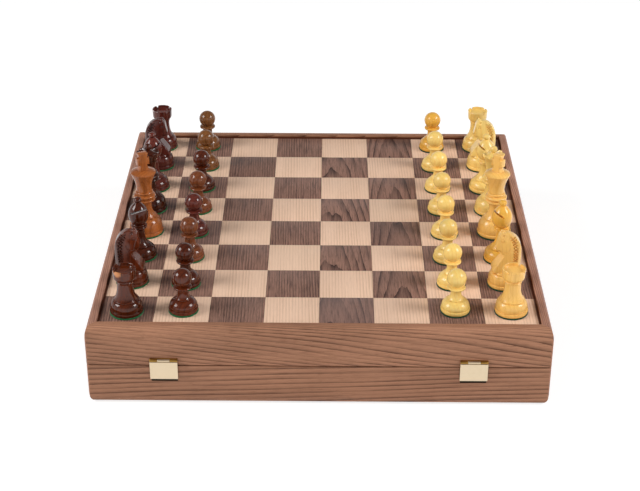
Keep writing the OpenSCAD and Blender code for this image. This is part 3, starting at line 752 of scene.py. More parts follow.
@dataclass(frozen=True)
class Wood(Finish):
    """Wood with rings, fibres and pores under a clear lacquer."""

    light: Colour = (162, 119, 93)
    dark: Colour = (112, 75, 56)
    streak: Colour = (84, 55, 42)
    grain: Grain = Grain.ALONG_X
    pith: tuple[float, float, float] = (0.0, 0.0, 0.0)
    lean: tuple[float, float] = (0.03, 0.02)
    ring_gap: float = 0.0015
    ring_share: float = 0.8
    ring_edge: float = 3.0
    wobble: float = 0.8
    streak_share: float = 0.5
    pore_share: float = 0.35
    broad_share: float = 0.5
    warp: float = 0.012
    fibre_gap: float = 0.0009
    pore_size: float = 0.00035
    square: float = 0.0
    crown_cut: float = 0.0
    tone_change: float = 0.0
    cool: Colour = (96, 88, 92)
    # Painted shade: the next colour is a dark band that field, line_w and line_top place
    # along the board's edge. It lies on the outer squares and on the rails' inner walls,
    # where the rails shade the board.
    recess_shade: Colour = (84, 40, 20)
    field: float = 0.0
    line_w: float = 1.5 * MM
    line_top: float = 71.6 * MM
    # The next three values lay a pale orange patch round one point; only the front dark
    # rook has one.
    patch_colour: Colour = (200, 140, 90)
    patch_at: tuple[float, float, float] = (0.0, 0.0, 0.0)
    patch_size: float = 0.0
    roughness: float = 0.55
    specular: float = 0.25
    coat: float = 0.0
    coat_roughness: float = 0.2
    coat_ior: float = 1.5
    bump: float = 0.25
    wear: float = 0.25

    def build(self) -> bpy.types.Material:
        """Builds the wood's material.

        Returns:
            The material.
        """
        made, g, place = self.start()
        upright = g.add("Mapping", {"Vector": g.shift("SUBTRACT", place, self.pith),
                                    "Rotation": self.grain.value}).outputs[0]
        if self.square:
            change = use_group(g, square_change(), {
                "Vector": place, "Side": self.square, "Crown Cut": self.crown_cut})
            upright = g.shift("ADD", upright, change.outputs["Shift"])
        wood = g.add("Mapping", {"Vector": upright, "Rotation": (*self.lean, 0)}).outputs[0]
        grain = use_group(g, wood_grain(), {
            "Vector": wood, "Ring Gap": self.ring_gap, "Ring Edge": self.ring_edge,
            "Wobble": self.wobble, "Warp": self.warp, "Fibre Gap": self.fibre_gap,
            "Pore Size": self.pore_size})
        broad = g.noise(g.shift("MULTIPLY", wood, (1, 1, 0.3)), BROAD_TONES, 3.0)
        ground = linear(self.light)
        colour = g.add("HueSaturation", {
            "Value": g.span(broad, 0.3, 0.7, 1 - 0.45 * self.broad_share,
                            1 + 0.35 * self.broad_share), "Color": ground}).outputs[0]
        rings = g.math("MULTIPLY", grain.outputs["Rings"], self.ring_share)
        colour = g.mix(rings, colour, linear(self.dark))
        veins = g.math("MULTIPLY", g.math("POWER", grain.outputs["Fibres"], 2.2),
                       self.streak_share)
        colour = g.mix(veins, colour, linear(self.streak))
        pores = g.math("MULTIPLY", grain.outputs["Pores"], self.pore_share)
        colour = g.mix(pores, colour, linear(self.streak))
        # A pale orange patch round one point, frayed by the fibres.
        if self.patch_size:
            offset = g.shift("MULTIPLY", g.shift("SUBTRACT", place, self.patch_at),
                             (1, 1, 1.6))
            away = g.add("VectorMath", {0: offset}, operation="LENGTH")
            edge = g.math("ADD", away.outputs["Value"], g.math(
                "MULTIPLY", grain.outputs["Fibres"], self.patch_size * 0.5))
            patched = g.span(edge, self.patch_size * 0.7, self.patch_size * 1.2, 0.9, 0.0)
            colour = g.mix(patched, colour, linear(self.patch_colour))
        if self.square:
            level = g.span(change.outputs["Tone"], 0, 1, 1 - self.tone_change,
                           1 + self.tone_change)
            colour = g.add("HueSaturation", {"Value": level, "Color": colour}).outputs[0]
            cooled = g.span(change.outputs["Tint"], 0.72, 1.0, 0.0, 0.3)
            colour = g.mix(cooled, colour, linear(self.cool))
        worn = use_group(g, edge_wear(), {"Vector": place, "Patch Scale": 90.0})
        rubbed = g.math("MULTIPLY", worn.outputs[0], self.wear)
        colour = g.mix(rubbed, colour, ground)
        # Painted shade: a dark band along the board's edge and the lower part of the rails'
        # inner walls.
        if self.field:
            part = g.add("SeparateXYZ", {0: g.shift("ABSOLUTE", place)}).outputs
            off = g.math("ABSOLUTE", g.math(
                "SUBTRACT", g.math("MAXIMUM", part[0], part[1]), self.field))
            line = g.math("MULTIPLY", g.span(off, self.line_w, self.line_w * 1.3, 1, 0),
                          g.span(part[2], self.line_top, self.line_top + 0.3 * MM, 0.95, 0))
            colour = g.mix(line, colour, linear(self.recess_shade))
        hands = use_group(g, handling(), {"Vector": place, "Scale": 35.0})
        rough = g.span(hands.outputs["Patches"], 0, 1, self.roughness - 0.05,
                       self.roughness + 0.07)
        rough = g.math("ADD", rough, g.math("MULTIPLY", grain.outputs["Pores"], 0.15))
        relief = g.add("Bump", {"Height": grain.outputs["Height"],
                                "Strength": self.bump, "Distance": 0.00012})
        self.shade(g, {"Base Color": colour, "Roughness": rough,
                       "Specular IOR Level": self.specular, "Coat Weight": self.coat,
                       "Coat Roughness": self.coat_roughness, "Coat IOR": self.coat_ior,
                       "Normal": relief.outputs[0]})
        return made


@dataclass(frozen=True)
class Brass(Finish):
    """Brass, brushed along X, with brighter rubbed edges."""

    colour: Colour = (226, 208, 166)
    dull: Colour = (196, 172, 120)
    roughness: float = 0.3
    brushed: float = 0.3

    def build(self) -> bpy.types.Material:
        """Builds the metal's material.

        Returns:
            The material.
        """
        made, g, place = self.start()
        strokes = g.noise(g.shift("MULTIPLY", place, (60, 2600, 2600)), 1.0, 2.0)
        hands = use_group(g, handling(), {"Vector": place, "Scale": 120.0})
        worn = use_group(g, edge_wear(), {"Vector": place, "Patch Scale": 300.0})
        tarnish = g.math("MULTIPLY", hands.outputs["Patches"], 0.35)
        colour = g.mix(tarnish, linear(self.colour), linear(self.dull))
        colour = g.mix(worn.outputs[0], colour, linear(self.colour))
        rough = g.span(strokes, 0.3, 0.7, self.roughness - 0.06, self.roughness + 0.1)
        relief = g.add("Bump", {"Height": strokes, "Strength": self.brushed,
                                "Distance": 0.00002})
        self.shade(g, {"Base Color": colour, "Metallic": 1.0, "Roughness": rough,
                       "Normal": relief.outputs[0]})
        return made


@dataclass(frozen=True)
class Felt(Finish):
    """Short-napped felt or baize with a soft sheen."""

    colour: Colour = (24, 96, 52)
    shade_colour: Colour = (12, 58, 32)
    nap: float = 0.0004

    def build(self) -> bpy.types.Material:
        """Builds the cloth's material.

        Returns:
            The material.
        """
        made, g, place = self.start()
        nap = g.noise(place, 1 / self.nap, 4.0, 0.7)
        tufts = g.noise(place, 0.08 / self.nap, 3.0)
        hands = use_group(g, handling(), {"Vector": place, "Scale": 25.0})
        height = g.math("ADD", nap, g.math("MULTIPLY", tufts, 0.6))
        colour = g.mix(g.span(height, 0.5, 1.1), linear(self.shade_colour),
                       linear(self.colour))
        colour = g.mix(g.math("MULTIPLY", hands.outputs["Patches"], 0.2), colour,
                       linear(self.shade_colour))
        relief = g.add("Bump", {"Height": height, "Strength": 0.6, "Distance": 0.0003})
        self.shade(g, {"Base Color": colour, "Roughness": 0.95, "Sheen Weight": 0.25,
                       "Sheen Roughness": 0.5, "Normal": relief.outputs[0]})
        return made


WALNUT = dict(slot="case_walnut", fibre_gap=0.0008, streak_share=0.45, pore_share=0.35,
              ring_share=1.0, ring_edge=2.9, wobble=0.22)
FRONT_WALNUT = dict(light=(178, 128, 99), dark=(54, 22, 12), streak=(84, 50, 32))
SIDE_WALNUT = dict(grain=Grain.ALONG_Y, light=(188, 138, 116), dark=(92, 58, 46),
                   streak=(84, 52, 42))
# The lid's rails carry the painted shade band on their inner walls through field=FIELD.
LID_FRONT = Wood("walnut lid front", pith=(0.035, -0.078, 0.084), lean=(-0.038, -0.01),
                 ring_gap=0.0013, warp=0.0042, field=FIELD, **FRONT_WALNUT, **WALNUT)
BASE_FRONT = Wood("walnut base front", pith=(-0.06, -0.1, 0.085), lean=(0.006, 0.03),
                  ring_gap=0.0028, warp=0.009, **FRONT_WALNUT, **WALNUT)
LID_SIDE = Wood("walnut lid side", pith=(0.05, 0.0, 0.075), lean=(0.02, 0.04),
                ring_gap=0.0016, field=FIELD, **SIDE_WALNUT, **WALNUT)
BASE_SIDE = Wood("walnut base side", pith=(-0.07, 0.0, 0.09), lean=(0.02, 0.012),
                 ring_gap=0.003, **SIDE_WALNUT, **WALNUT)
INSIDE_WOOD = Wood("walnut divider", slot="divider_wood", light=(150, 110, 86),
                   dark=(112, 78, 60), streak=(80, 54, 42), grain=Grain.ALONG_Y,
                   pith=(0.2, 0.0, 0.1))
PLYWOOD = Wood("board plywood", slot="board_plywood", light=(196, 160, 122),
               dark=(176, 138, 102), streak=(140, 104, 76), roughness=0.6,
               pith=(0.0, 0.3, 0.0), ring_gap=0.003)
PANEL_PLY = Wood("panel plywood", slot="panel_plywood", light=(120, 86, 66),
                 dark=(96, 68, 52), streak=(66, 46, 36), roughness=0.6,
                 pith=(0.0, 0.1, 0.08), ring_gap=0.002)
# field=FIELD lays the painted shade band on the outer squares.
VENEER = dict(grain=Grain.ALONG_Y, square=SQUARE,pith=(0.0, 0.0, 0.0), lean=(0.045, 0.01),
              field=FIELD, bump=0.2, wear=0.0, roughness=0.5)
LIGHT_VENEER = Wood("light veneer", slot="light_veneer", light=(240, 204, 177),
                    dark=(204, 164, 134), streak=(184, 142, 112), ring_gap=0.0026,
                    ring_share=0.9, fibre_gap=0.0006, streak_share=0.22, pore_share=0.15,
                    broad_share=0.12, warp=0.004, tone_change=0.02, cool=(214, 186, 160),
                    **VENEER)
DARK_VENEER = Wood("dark veneer", slot="dark_veneer", light=(155, 117, 101),
                   dark=(46, 28, 28), streak=(44, 28, 28), ring_gap=0.0023,
                   ring_share=1.0, fibre_gap=0.0009, streak_share=0.75, warp=0.008,
                   broad_share=0.3, tone_change=0.06, cool=(112, 98, 98), crown_cut=1.0,
                   **VENEER)
MEN_DARK = dict(slot="dark_men_wood", grain=Grain.ALONG_Z, ring_gap=0.0032,
                pith=(-0.5, 0.3, 0.0), fibre_gap=0.0007, ring_share=0.7,
                broad_share=1.0, streak_share=0.6, coat=0.85, coat_roughness=0.13,
                roughness=0.4, specular=0.0, bump=0.12, wear=0.1)
EBONY_BROWN = Wood("men dark brown", light=(80, 30, 10), dark=(30, 6, 1),
                   streak=(18, 4, 1), **MEN_DARK)
DEEP_BROWN = Wood("men deep brown", light=(104, 44, 20), dark=(50, 15, 5),
                  streak=(28, 6, 2), **MEN_DARK)
BLACK_BROWN = Wood("men black brown", light=(98, 40, 14), dark=(36, 10, 2),
                   streak=(14, 3, 1), patch_colour=(214, 140, 84), patch_at=(-0.1636, -0.1679, 0.1104),
                   patch_size=0.0056, **MEN_DARK)
RED_BROWN = Wood("men red brown", light=(100, 44, 34), dark=(58, 20, 16),
                 streak=(36, 10, 10), **MEN_DARK)
ORANGE_BROWN = Wood("men orange brown", light=(150, 84, 48), dark=(96, 44, 24),
                    streak=(60, 24, 14), **MEN_DARK)
OLIVE_BROWN = Wood("men olive brown", light=(138, 88, 46), dark=(92, 52, 26),
                   streak=(56, 28, 14), **MEN_DARK)
ROSY_BROWN = Wood("men rosy brown", light=(176, 102, 50), dark=(130, 64, 28),
                  streak=(88, 36, 16), **MEN_DARK)
MEN_LIGHT = dict(slot="light_men_wood", grain=Grain.ALONG_Z, ring_gap=0.003,
                 pith=(-0.45, -0.4, 0.0), fibre_gap=0.0006, ring_share=0.45,
                 streak_share=0.25, pore_share=0.1, broad_share=0.45, coat=0.9,
                 coat_roughness=0.22, roughness=0.5, specular=0.1, bump=0.08, wear=0.0)
BOXWOOD = Wood("men boxwood", light=(255, 219, 126), dark=(246, 184, 76),
               streak=(206, 134, 44), **MEN_LIGHT)
GOLD_BOXWOOD = Wood("men golden boxwood", light=(250, 190, 76), dark=(230, 154, 42),
                    streak=(186, 110, 24), **MEN_LIGHT)
TAN_BOXWOOD = Wood("men tan boxwood", light=(252, 200, 108), dark=(232, 168, 70),
                   streak=(196, 128, 46), **MEN_LIGHT)
LINING = Felt("felt lining", "green_felt")
PLATE = Brass("brass plate", "brass_plate", colour=(221, 202, 172), dull=(210, 190, 156),
              roughness=0.34, brushed=0.1)
# Painted shade: this brass is darker and more olive than the plate's, standing in for the
# dark surroundings that the barrels reflect.
HARDWARE = Brass("brass hardware", "brass_hardware", colour=(176, 136, 70),
                 dull=(112, 82, 40), roughness=0.35)
# Painted shadow: the keepers are black so that the strip seen below each flap reads as the
# flap's shadow.
KEEPER_SHADOW = Brass("blackened steel", "black_hardware", colour=(34, 28, 22),
                  dull=(18, 14, 11), roughness=0.45)
SCREW = Brass("brass screw", "brass_screws", colour=(208, 176, 106), dull=(160, 128, 70))


@dataclass(frozen=True)
class Baize(Felt):
    """The darker cloth under the men."""

    colour: Colour = (22, 122, 62)
    shade_colour: Colour = (8, 74, 38)


DARK_BAIZE = Baize("dark men baize", "dark_men_wood")
LIGHT_BAIZE = Baize("light men baize", "light_men_wood", colour=(12, 74, 36),
                    shade_colour=(6, 44, 22))


# ------------------------------------------------------------------------- case


@dataclass
class Tray:
    """One tray of four mitred rails with a rounded outer edge."""

    body: str
    section: list[Point2]
    looks: tuple[Wood, Wood]
    outer: float
    seam: float
    seat_depth: float
    hinge_len: float = 36 * MM
    corner: float = 1.2 * MM
    ends: tuple[str, ...] = ("right", "back", "left", "front")

    def rail(self, side: int) -> bpy.types.Object:
        """Makes one rail: its section is drawn, extruded and mitred.

        Args:
            side: 0 right, 1 back, 2 left, 3 front.

        Returns:
            The rail.
        """
        name = f"{self.body}_rail_{self.ends[side]}"
        reach = self.outer + 2 * MM
        outline = [Vector((x, -reach, z)) for x, z in self.section]
        obj = slab(name, outline, Vector((0, 2 * reach, 0)))
        for way in (-1, 1):
            bisect(obj, (0, 0, 0), (-1, way, 0))
            bisect(obj, (2 * self.outer - self.corner, 0, 0), (1, way, 0))
        clean(obj)
        obj.data.transform(Matrix.Rotation(side * pi / 2, 4, "Z"))
        return obj

    def build(self) -> list[bpy.types.Object]:
        """Makes and dresses the four rails.

        Returns:
            The rails.
        """
        made = []
        for side, end in enumerate(self.ends):
            obj = self.rail(side)
            if end == "back":
                self.cut_seats(obj)
            made.append(finish(obj, self.body, self.looks[side % 2],
                               [f"{self.body}_{end}_rail"], 30))
        return made

    def cut_seats(self, obj: bpy.types.Object) -> None:
        """Cuts the mortises that the hinge leaves lie in.

        Args:
            obj: the back rail.
        """
        low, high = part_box(f"hinge_{self.body}_leaves")
        bottom, top = sorted((self.seam, self.seam + self.seat_depth))
        tools = []
        for way in (-1, 1):
            left, right = sorted((way * (high.x - self.hinge_len), way * high.x))
            tools.append(block("mortise", (left, low.y, bottom),
                               (right, low.y + 12 * MM, top)))
        combine(obj, tools)


@dataclass
class Case:
    """The two trays, with what lies inside them."""

    inner: float = 180.8 * MM
    seam: float = 36.8 * MM
    height: float = 73.6 * MM
    seam_ease: float = 0.3 * MM
    seam_gap: float = 0.9 * MM
    seam_depth: float = 2.2 * MM
    round_w: float = 4.6 * MM
    lid_round: float = 12.6 * MM
    base_round: float = 10.6 * MM
    groove: float = 4.0 * MM
    core: tuple[float, float] = (64.4 * MM, 69.4 * MM)
    panel: tuple[float, float] = (3.4 * MM, 7.4 * MM)
    leaf: float = 1.0 * MM
    rim_ease: float = 0.3 * MM

    def lid_section(self, outer: float) -> list[Point2]:
        """The lid rail's section, as (distance from the middle, height) pairs."""
        inner, top = self.inner, self.height
        arc = oval(outer - self.round_w, top - self.lid_round, self.round_w,
                   self.lid_round, 0, 90, 28)
        gap = self.seam + self.seam_gap
        return [(inner, self.seam), (outer - self.seam_depth, self.seam),
                (outer - self.seam_depth + 0.2 * MM, gap - 0.05 * MM),
                (outer - 0.15 * MM, gap), (outer, gap + 0.15 * MM), *arc,
                (inner + self.rim_ease, top), (inner, top - self.rim_ease),
                (inner, self.core[1]), (inner + self.groove, self.core[1]),
                (inner + self.groove, self.core[0]), (inner, self.core[0])]

    def base_section(self, outer: float) -> list[Point2]:
        """The base rail's section, as (distance from the middle, height) pairs."""
        inner = self.inner
        arc = oval(outer - self.round_w, self.base_round, self.round_w,
                   self.base_round, -90, 0, 28)
        return [(inner, 0.0), *arc, (outer, self.seam - self.seam_ease),
                (outer - self.seam_ease, self.seam), (inner, self.seam),
                (inner, self.panel[1]), (inner + self.groove, self.panel[1]),
                (inner + self.groove, self.panel[0]), (inner, self.panel[0])]

    def build(self) -> None:
        """Makes the rails and dividers, and dresses the panels and linings."""
        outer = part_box("lid_right_rail")[1].x
        Tray("base", self.base_section(outer), (BASE_SIDE, BASE_FRONT), outer,
             self.seam, -self.leaf).build()
        Tray("lid", self.lid_section(outer), (LID_SIDE, LID_FRONT), outer,
             self.seam, self.leaf).build()
        for node, look in (("base_panel", PANEL_PLY), ("board_core", PLYWOOD),
                           ("base_lining", LINING), ("lid_lining", LINING)):
            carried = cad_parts[node]
            carried.data.materials.clear()
            carried.data.materials.append(look.material())
            log.info("%s: CAD node dressed as %s", node, look.name)
        self.build_dividers()

    def build_dividers(self) -> None:
        """Makes the three boards of the compartments, with eased edges."""
        for node in ("divider_left", "divider_right", "divider_cross"):
            low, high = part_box(node)
            obj = block(node + "_board", low, high)
            ease(obj, 0.6 * MM, lambda e: middle(e).z > high.z - NEAR, 3)
            ease(obj, 0.15 * MM)
            finish(obj, "base", INSIDE_WOOD, [node])


@dataclass
class PlayingBoard:
    """The veneer squares, each with its edges just broken."""

    squares: int = 8
    glue_line: float = 0.1 * MM

    def build(self) -> None:
        """Lays the squares of both colours."""
        low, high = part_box("dark_squares")
        low_light, high_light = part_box("light_squares")
        low = Vector(map(min, low, low_light))
        high = Vector(map(max, high, high_light))
        side = (high.x - low.x + self.glue_line) / self.squares
        first = block("square", low, low + Vector((
            side - self.glue_line, side - self.glue_line, high.z - low.z)))
        ease(first, 0.08 * MM, lambda e: middle(e).z > high.z - NEAR, 2)
        for parity, look in enumerate((DARK_VENEER, LIGHT_VENEER)):
            laid = [
                copy_to(first, "square", (side * i, side * j, 0))
                for i in range(self.squares) for j in range(self.squares)
                if (i + j) % 2 == parity
            ]
            name = ("dark", "light")[parity]
            finish(join(laid, name + "_veneer"), "lid", look, [name + "_squares"], 60)
        bpy.data.objects.remove(first)


# --------------------------------------------------------------------- hardware


def screw(
    name: str, at: Vector, turn: Sequence[float], head: float, rise: float,
    shank: float, length: float, slot_turn: float,
) -> bpy.types.Object:
    """A slotted screw, made upright and then turned and moved.

    Args:
        name: the screw's name.
        at: the middle of the head's underside.
        turn: Euler angles that bring +Z to the way the head faces.
        head: the head's radius.
        rise: the head's height; 0 or less makes a flush countersunk head.
        shank: the shank's radius.
        length: the shank's length.
        slot_turn: how far round the slot is turned.

    Returns:
        The screw.
    """
    if rise > 0:
        top = [(head, 0.0), (head, rise * 0.4), (head * 0.85, rise * 0.85), (0.0, rise)]
    else:
        top = [(shank, -0.9 * MM), (head, -0.06 * MM), (head, 0.0), (0.0, 0.0)]
    outline = [(0.0, -length), (shank * 0.4, -length + shank), (shank, -length + 3 * shank),
               (shank, min(0.0, top[0][1])), *top]
    obj = lathe(name, [(r / MM, z / MM) for r, z in outline], 24)
    depth = max(rise * 0.55, 0.3 * MM)
    slot = block("slot", (-head * 1.2, -head * 0.14, rise - depth),
                 (head * 1.2, head * 0.14, rise + MM))
    slot.data.transform(Matrix.Rotation(slot_turn, 4, "Z"))
    combine(obj, [slot])
    obj.data.transform(Matrix.Translation(at) @ turned(turn))
    return obj


@dataclass
class Hinges:
    """The two butt hinges at the back."""

    x: float = 115 * MM
    length: float = 36 * MM
    leaf_w: float = 7.4 * MM
    leaf_t: float = 1.0 * MM
    knuckle: float = 2.5 * MM
    pin: float = 1.25 * MM
    play: float = 0.05 * MM
    gap: float = 0.3 * MM
    outer: float = 190 * MM
    axis_y: float = 192.7 * MM
    seam: float = 36.8 * MM
    pitch: float = 22 * MM
    screw_r: float = 1.1 * MM
    screw_l: float = 12 * MM

    def leaf(self, way: int, places: Sequence[int], bore: float) -> bpy.types.Object:
        """Makes one leaf about the middle of its hinge.

        Args:
            way: 1 for the lid's leaf, -1 for the base's.
            places: the knuckles' places along the pin, from -1 to 1.
            bore: the bore's radius.

        Returns:
            The leaf.
        """
        step = (self.length - 2 * self.gap) / 3
        z = sorted((self.seam, self.seam + way * self.leaf_t))
        parts = [block("leaf", (-self.length / 2, self.outer - self.leaf_w, z[0]),
                       (self.length / 2, self.outer, z[1]))]
        for place in places:
            x = place * (step + self.gap) - step / 2
            parts.append(block("strap", (x, self.outer - self.leaf_w / 2, z[0]),
                               (x + step, self.axis_y - self.pin * 1.5, z[1])))
            knuckle = rod("knuckle", Vector((x, self.axis_y, self.seam)), step,
                          self.knuckle, TO_X, 40)
            ease(knuckle, 0.25 * MM)
            parts.append(knuckle)
        first = parts[0]
        combine(first, parts[1:], "UNION")
        tools = [rod("bore", Vector((-self.length, self.axis_y, self.seam)),
                     2 * self.length, bore, TO_X, 32)]
        for end in (-1, 1):
            cone = lathe("sink", [(0, -3), (1.1, -3), (1.1, -1), (1.98, 0), (2.1, 0.1),
                                  (0, 0.1)], 24)
            flip = Matrix.Rotation(0 if way < 0 else pi, 4, "X")
            cone.data.transform(Matrix.Translation((
                end * self.pitch / 2, self.outer - self.leaf_w / 2, self.seam)) @ flip)
            tools.append(cone)
        combine(first, tools)
        return first

    def build(self) -> None:
        """Makes the leaves and pins of both hinges."""
        for way, body, node, places, bore in (
            (-1, "base", "hinge_base_leaves", [0], self.pin),
            (1, "lid", "hinge_lid_leaves", [-1, 1], self.pin + self.play),
        ):
            leaf = self.leaf(way, places, bore)
            both = [copy_to(leaf, "leaf", (side * self.x, 0, 0)) for side in (-1, 1)]
            bpy.data.objects.remove(leaf)
            finish(join(both, node + "_brass"), body, HARDWARE, [node])
        pins = []
        for side in (-1, 1):
            start = Vector((side * self.x - self.length / 2, self.axis_y, self.seam))
            pin = rod("pin", start, self.length, self.pin, TO_X, 32)
            ease(pin, 0.3 * MM, segments=3)
            pins.append(pin)
        finish(join(pins, "hinge_pins_brass"), "base", HARDWARE, ["hinge_pins"])

    def screws(self, way: int) -> list[bpy.types.Object]:
        """Makes the four screws of the leaves on one side of the seam.

        Args:
            way: 1 for the lid, -1 for the base.

        Returns:
            The screws.
        """
        made = []
        for side in (-1, 1):
            for end in (-1, 1):
                at = Vector((side * self.x + end * self.pitch / 2,
                             self.outer - self.leaf_w / 2, self.seam))
                turn = (pi if way > 0 else 0, 0, 0)
                made.append(screw("screw", at, turn, self.screw_r * 1.8, 0.0,
                                  self.screw_r, self.screw_l, 0.6 * side + end))
        return made


@dataclass
class Latches:
    """The two flap latches at the front."""

    x: float = 126.6 * MM
    width: float = 22.8 * MM
    barrel_len: float = 10 * MM
    play: float = 0.05 * MM
    gap: float = 0.3 * MM
    plate_t: float = 0.6 * MM
    outer: float = 190 * MM
    pitch: float = 8.4 * MM
    screw_r: float = 0.8 * MM
    catch: float = 7 * MM
    ridge_h: float = 1.2 * MM
    parts: dict[str, tuple[Vector, Vector]] = field(default_factory=dict)

    def __post_init__(self) -> None:
        """Reads where the latch parts are."""
        for name in ("latch_flap_right", "latch_brackets", "latch_pins",
                     "latch_keepers", "lid_screws", "base_screws"):
            self.parts[name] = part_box(name)

    @property
    def axis(self) -> tuple[float, float, float]:
        """The pins' axis, as y and z, and their radius."""
        low, high = self.parts["latch_pins"]
        return (low.y + high.y) / 2, (low.z + high.z) / 2, (high.z - low.z) / 2

    @property
    def ridge_z(self) -> float:
        """The height of the keeper's ridge, just above the flap's lip."""
        return self.parts["latch_flap_right"][0].z + 0.8 * MM + self.gap

    def flap(self) -> bpy.types.Object:
        """Makes the flap about the middle of its latch.

        Returns:
            The flap: a flat plate with eased edges, a barrel and a lip.
        """
        low, high = self.parts["latch_flap_right"]
        axis_y, axis_z, pin_r = self.axis
        barrel = high.z - axis_z
        top = axis_z - barrel - 0.1 * MM
        half = self.width / 2
        plate = block("plate", (-half, low.y, low.z), (half, low.y + MM, top))
        ease(plate, 0.4 * MM, lambda e: runs_along(e, Vector((0, 1, 0))), 3)
        ease(plate, 0.25 * MM, lambda e: middle(e).y < low.y + NEAR, 3)
        tongue = block("tongue", (-self.barrel_len / 2, low.y + 0.6 * MM, top - 0.2 * MM),
                       (self.barrel_len / 2, low.y + MM, axis_z))
        roll = rod("roll", Vector((-self.barrel_len / 2, axis_y, axis_z)),
                   self.barrel_len, barrel, TO_X, 36)
        ease(roll, 0.15 * MM)
        lip = block("lip", (-self.catch, low.y + 0.9 * MM, low.z + 0.05 * MM),
                    (self.catch, high.y, low.z + 0.8 * MM))
        combine(plate, [tongue, roll, lip], "UNION")
        combine(plate, [rod("bore", Vector((-half, axis_y, axis_z)), self.width,
                            pin_r + self.play, TO_X, 28)])
        return plate

    def bracket(self) -> bpy.types.Object:
        """Makes the plate with an ear at each end of the pin.

        Returns:
            The bracket, about the middle of its latch.
        """
        low, high = self.parts["latch_brackets"]
        axis_y, axis_z, pin_r = self.axis
        radius = high.z - axis_z
        half = self.width / 2
        ear = (self.width - self.barrel_len) / 2 - self.gap
        plate = block("bracket", (MM - half, -self.outer - self.plate_t, low.z),
                      (half - MM, -self.outer, high.z))
        ease(plate, 0.12 * MM)
        parts = []
        for end in (-1, 1):
            x = -half if end < 0 else half - ear
            roll = rod("ear", Vector((x, axis_y, axis_z)), ear, radius, TO_X, 36)
            ease(roll, 0.15 * MM)
            web = block("web", (x, axis_y, axis_z),
                        (x + ear, -self.outer - 0.1 * MM, high.z))
            parts += [roll, web]
        combine(plate, parts, "UNION")
        combine(plate, [rod("bore", Vector((-2 * half, axis_y, axis_z)), 4 * half, pin_r,
                            TO_X, 28)])
        return plate

    def keeper(self) -> bpy.types.Object:
        """Makes the plate with the ridge that the flap's lip closes under.

        Returns:
            The keeper, about the middle of its latch.
        """
        low, high = self.parts["latch_keepers"]
        half = high.x - self.x
        plate = block("keeper", (-half, -self.outer - self.plate_t, low.z),
                      (half, -self.outer, high.z))
        ease(plate, 0.12 * MM)
        foot = self.ridge_z
        ridge = block("ridge", (-self.catch, low.y, foot),
                      (self.catch, -self.outer - 0.1 * MM, foot + self.ridge_h))
        ease(ridge, 0.3 * MM, lambda e: middle(e).y < low.y + NEAR, 3)
        combine(plate, [ridge], "UNION")
        return plate

    def build(self) -> None:
        """Makes both latches."""
        flap, bracket, keeper = self.flap(), self.bracket(), self.keeper()
        axis_y, axis_z, pin_r = self.axis
        start = Vector((-self.width / 2, axis_y, axis_z))
        pin = rod("pin", start, self.width, pin_r, TO_X, 28)
        ease(pin, 0.12 * MM, segments=3)
        for side, name in ((-1, "left"), (1, "right")):
            placed = copy_to(flap, f"latch_plate_{name}", (side * self.x, 0, 0))
            finish(placed, f"latch_{name}", PLATE, [f"latch_flap_{name}"], 15)
        # The keepers wear the black of the painted shadow below the flaps.
        for part, node, body, look in ((bracket, "latch_brackets", "lid", HARDWARE),
                                       (pin, "latch_pins", "lid", HARDWARE),
                                       (keeper, "latch_keepers", "base", KEEPER_SHADOW)):
            both = [copy_to(part, "part", (side * self.x, 0, 0)) for side in (-1, 1)]
            finish(join(both, node + "_metal"), body, look, [node])
            bpy.data.objects.remove(part)
        bpy.data.objects.remove(flap)

    def screws(self, node: str, height: float) -> list[bpy.types.Object]:
        """Makes the four round-headed screws at one height.

        Args:
            node: the CAD node that holds the screws.
            height: the height of their axes.

        Returns:
            The screws.
        """
        made = []
        rise = -self.outer - self.plate_t - self.parts[node][0].y
        for side in (-1, 1):
            for end in (-1, 1):
                at = Vector((side * self.x + end * self.pitch / 2,
                             -self.outer - self.plate_t, height))
                made.append(screw("screw", at, (pi / 2, 0, 0), self.screw_r * 1.7, rise,
                                  self.screw_r, 6.6 * MM, side + 0.7 * end))
        return made


# --------------------------------------------------------------------- chessmen


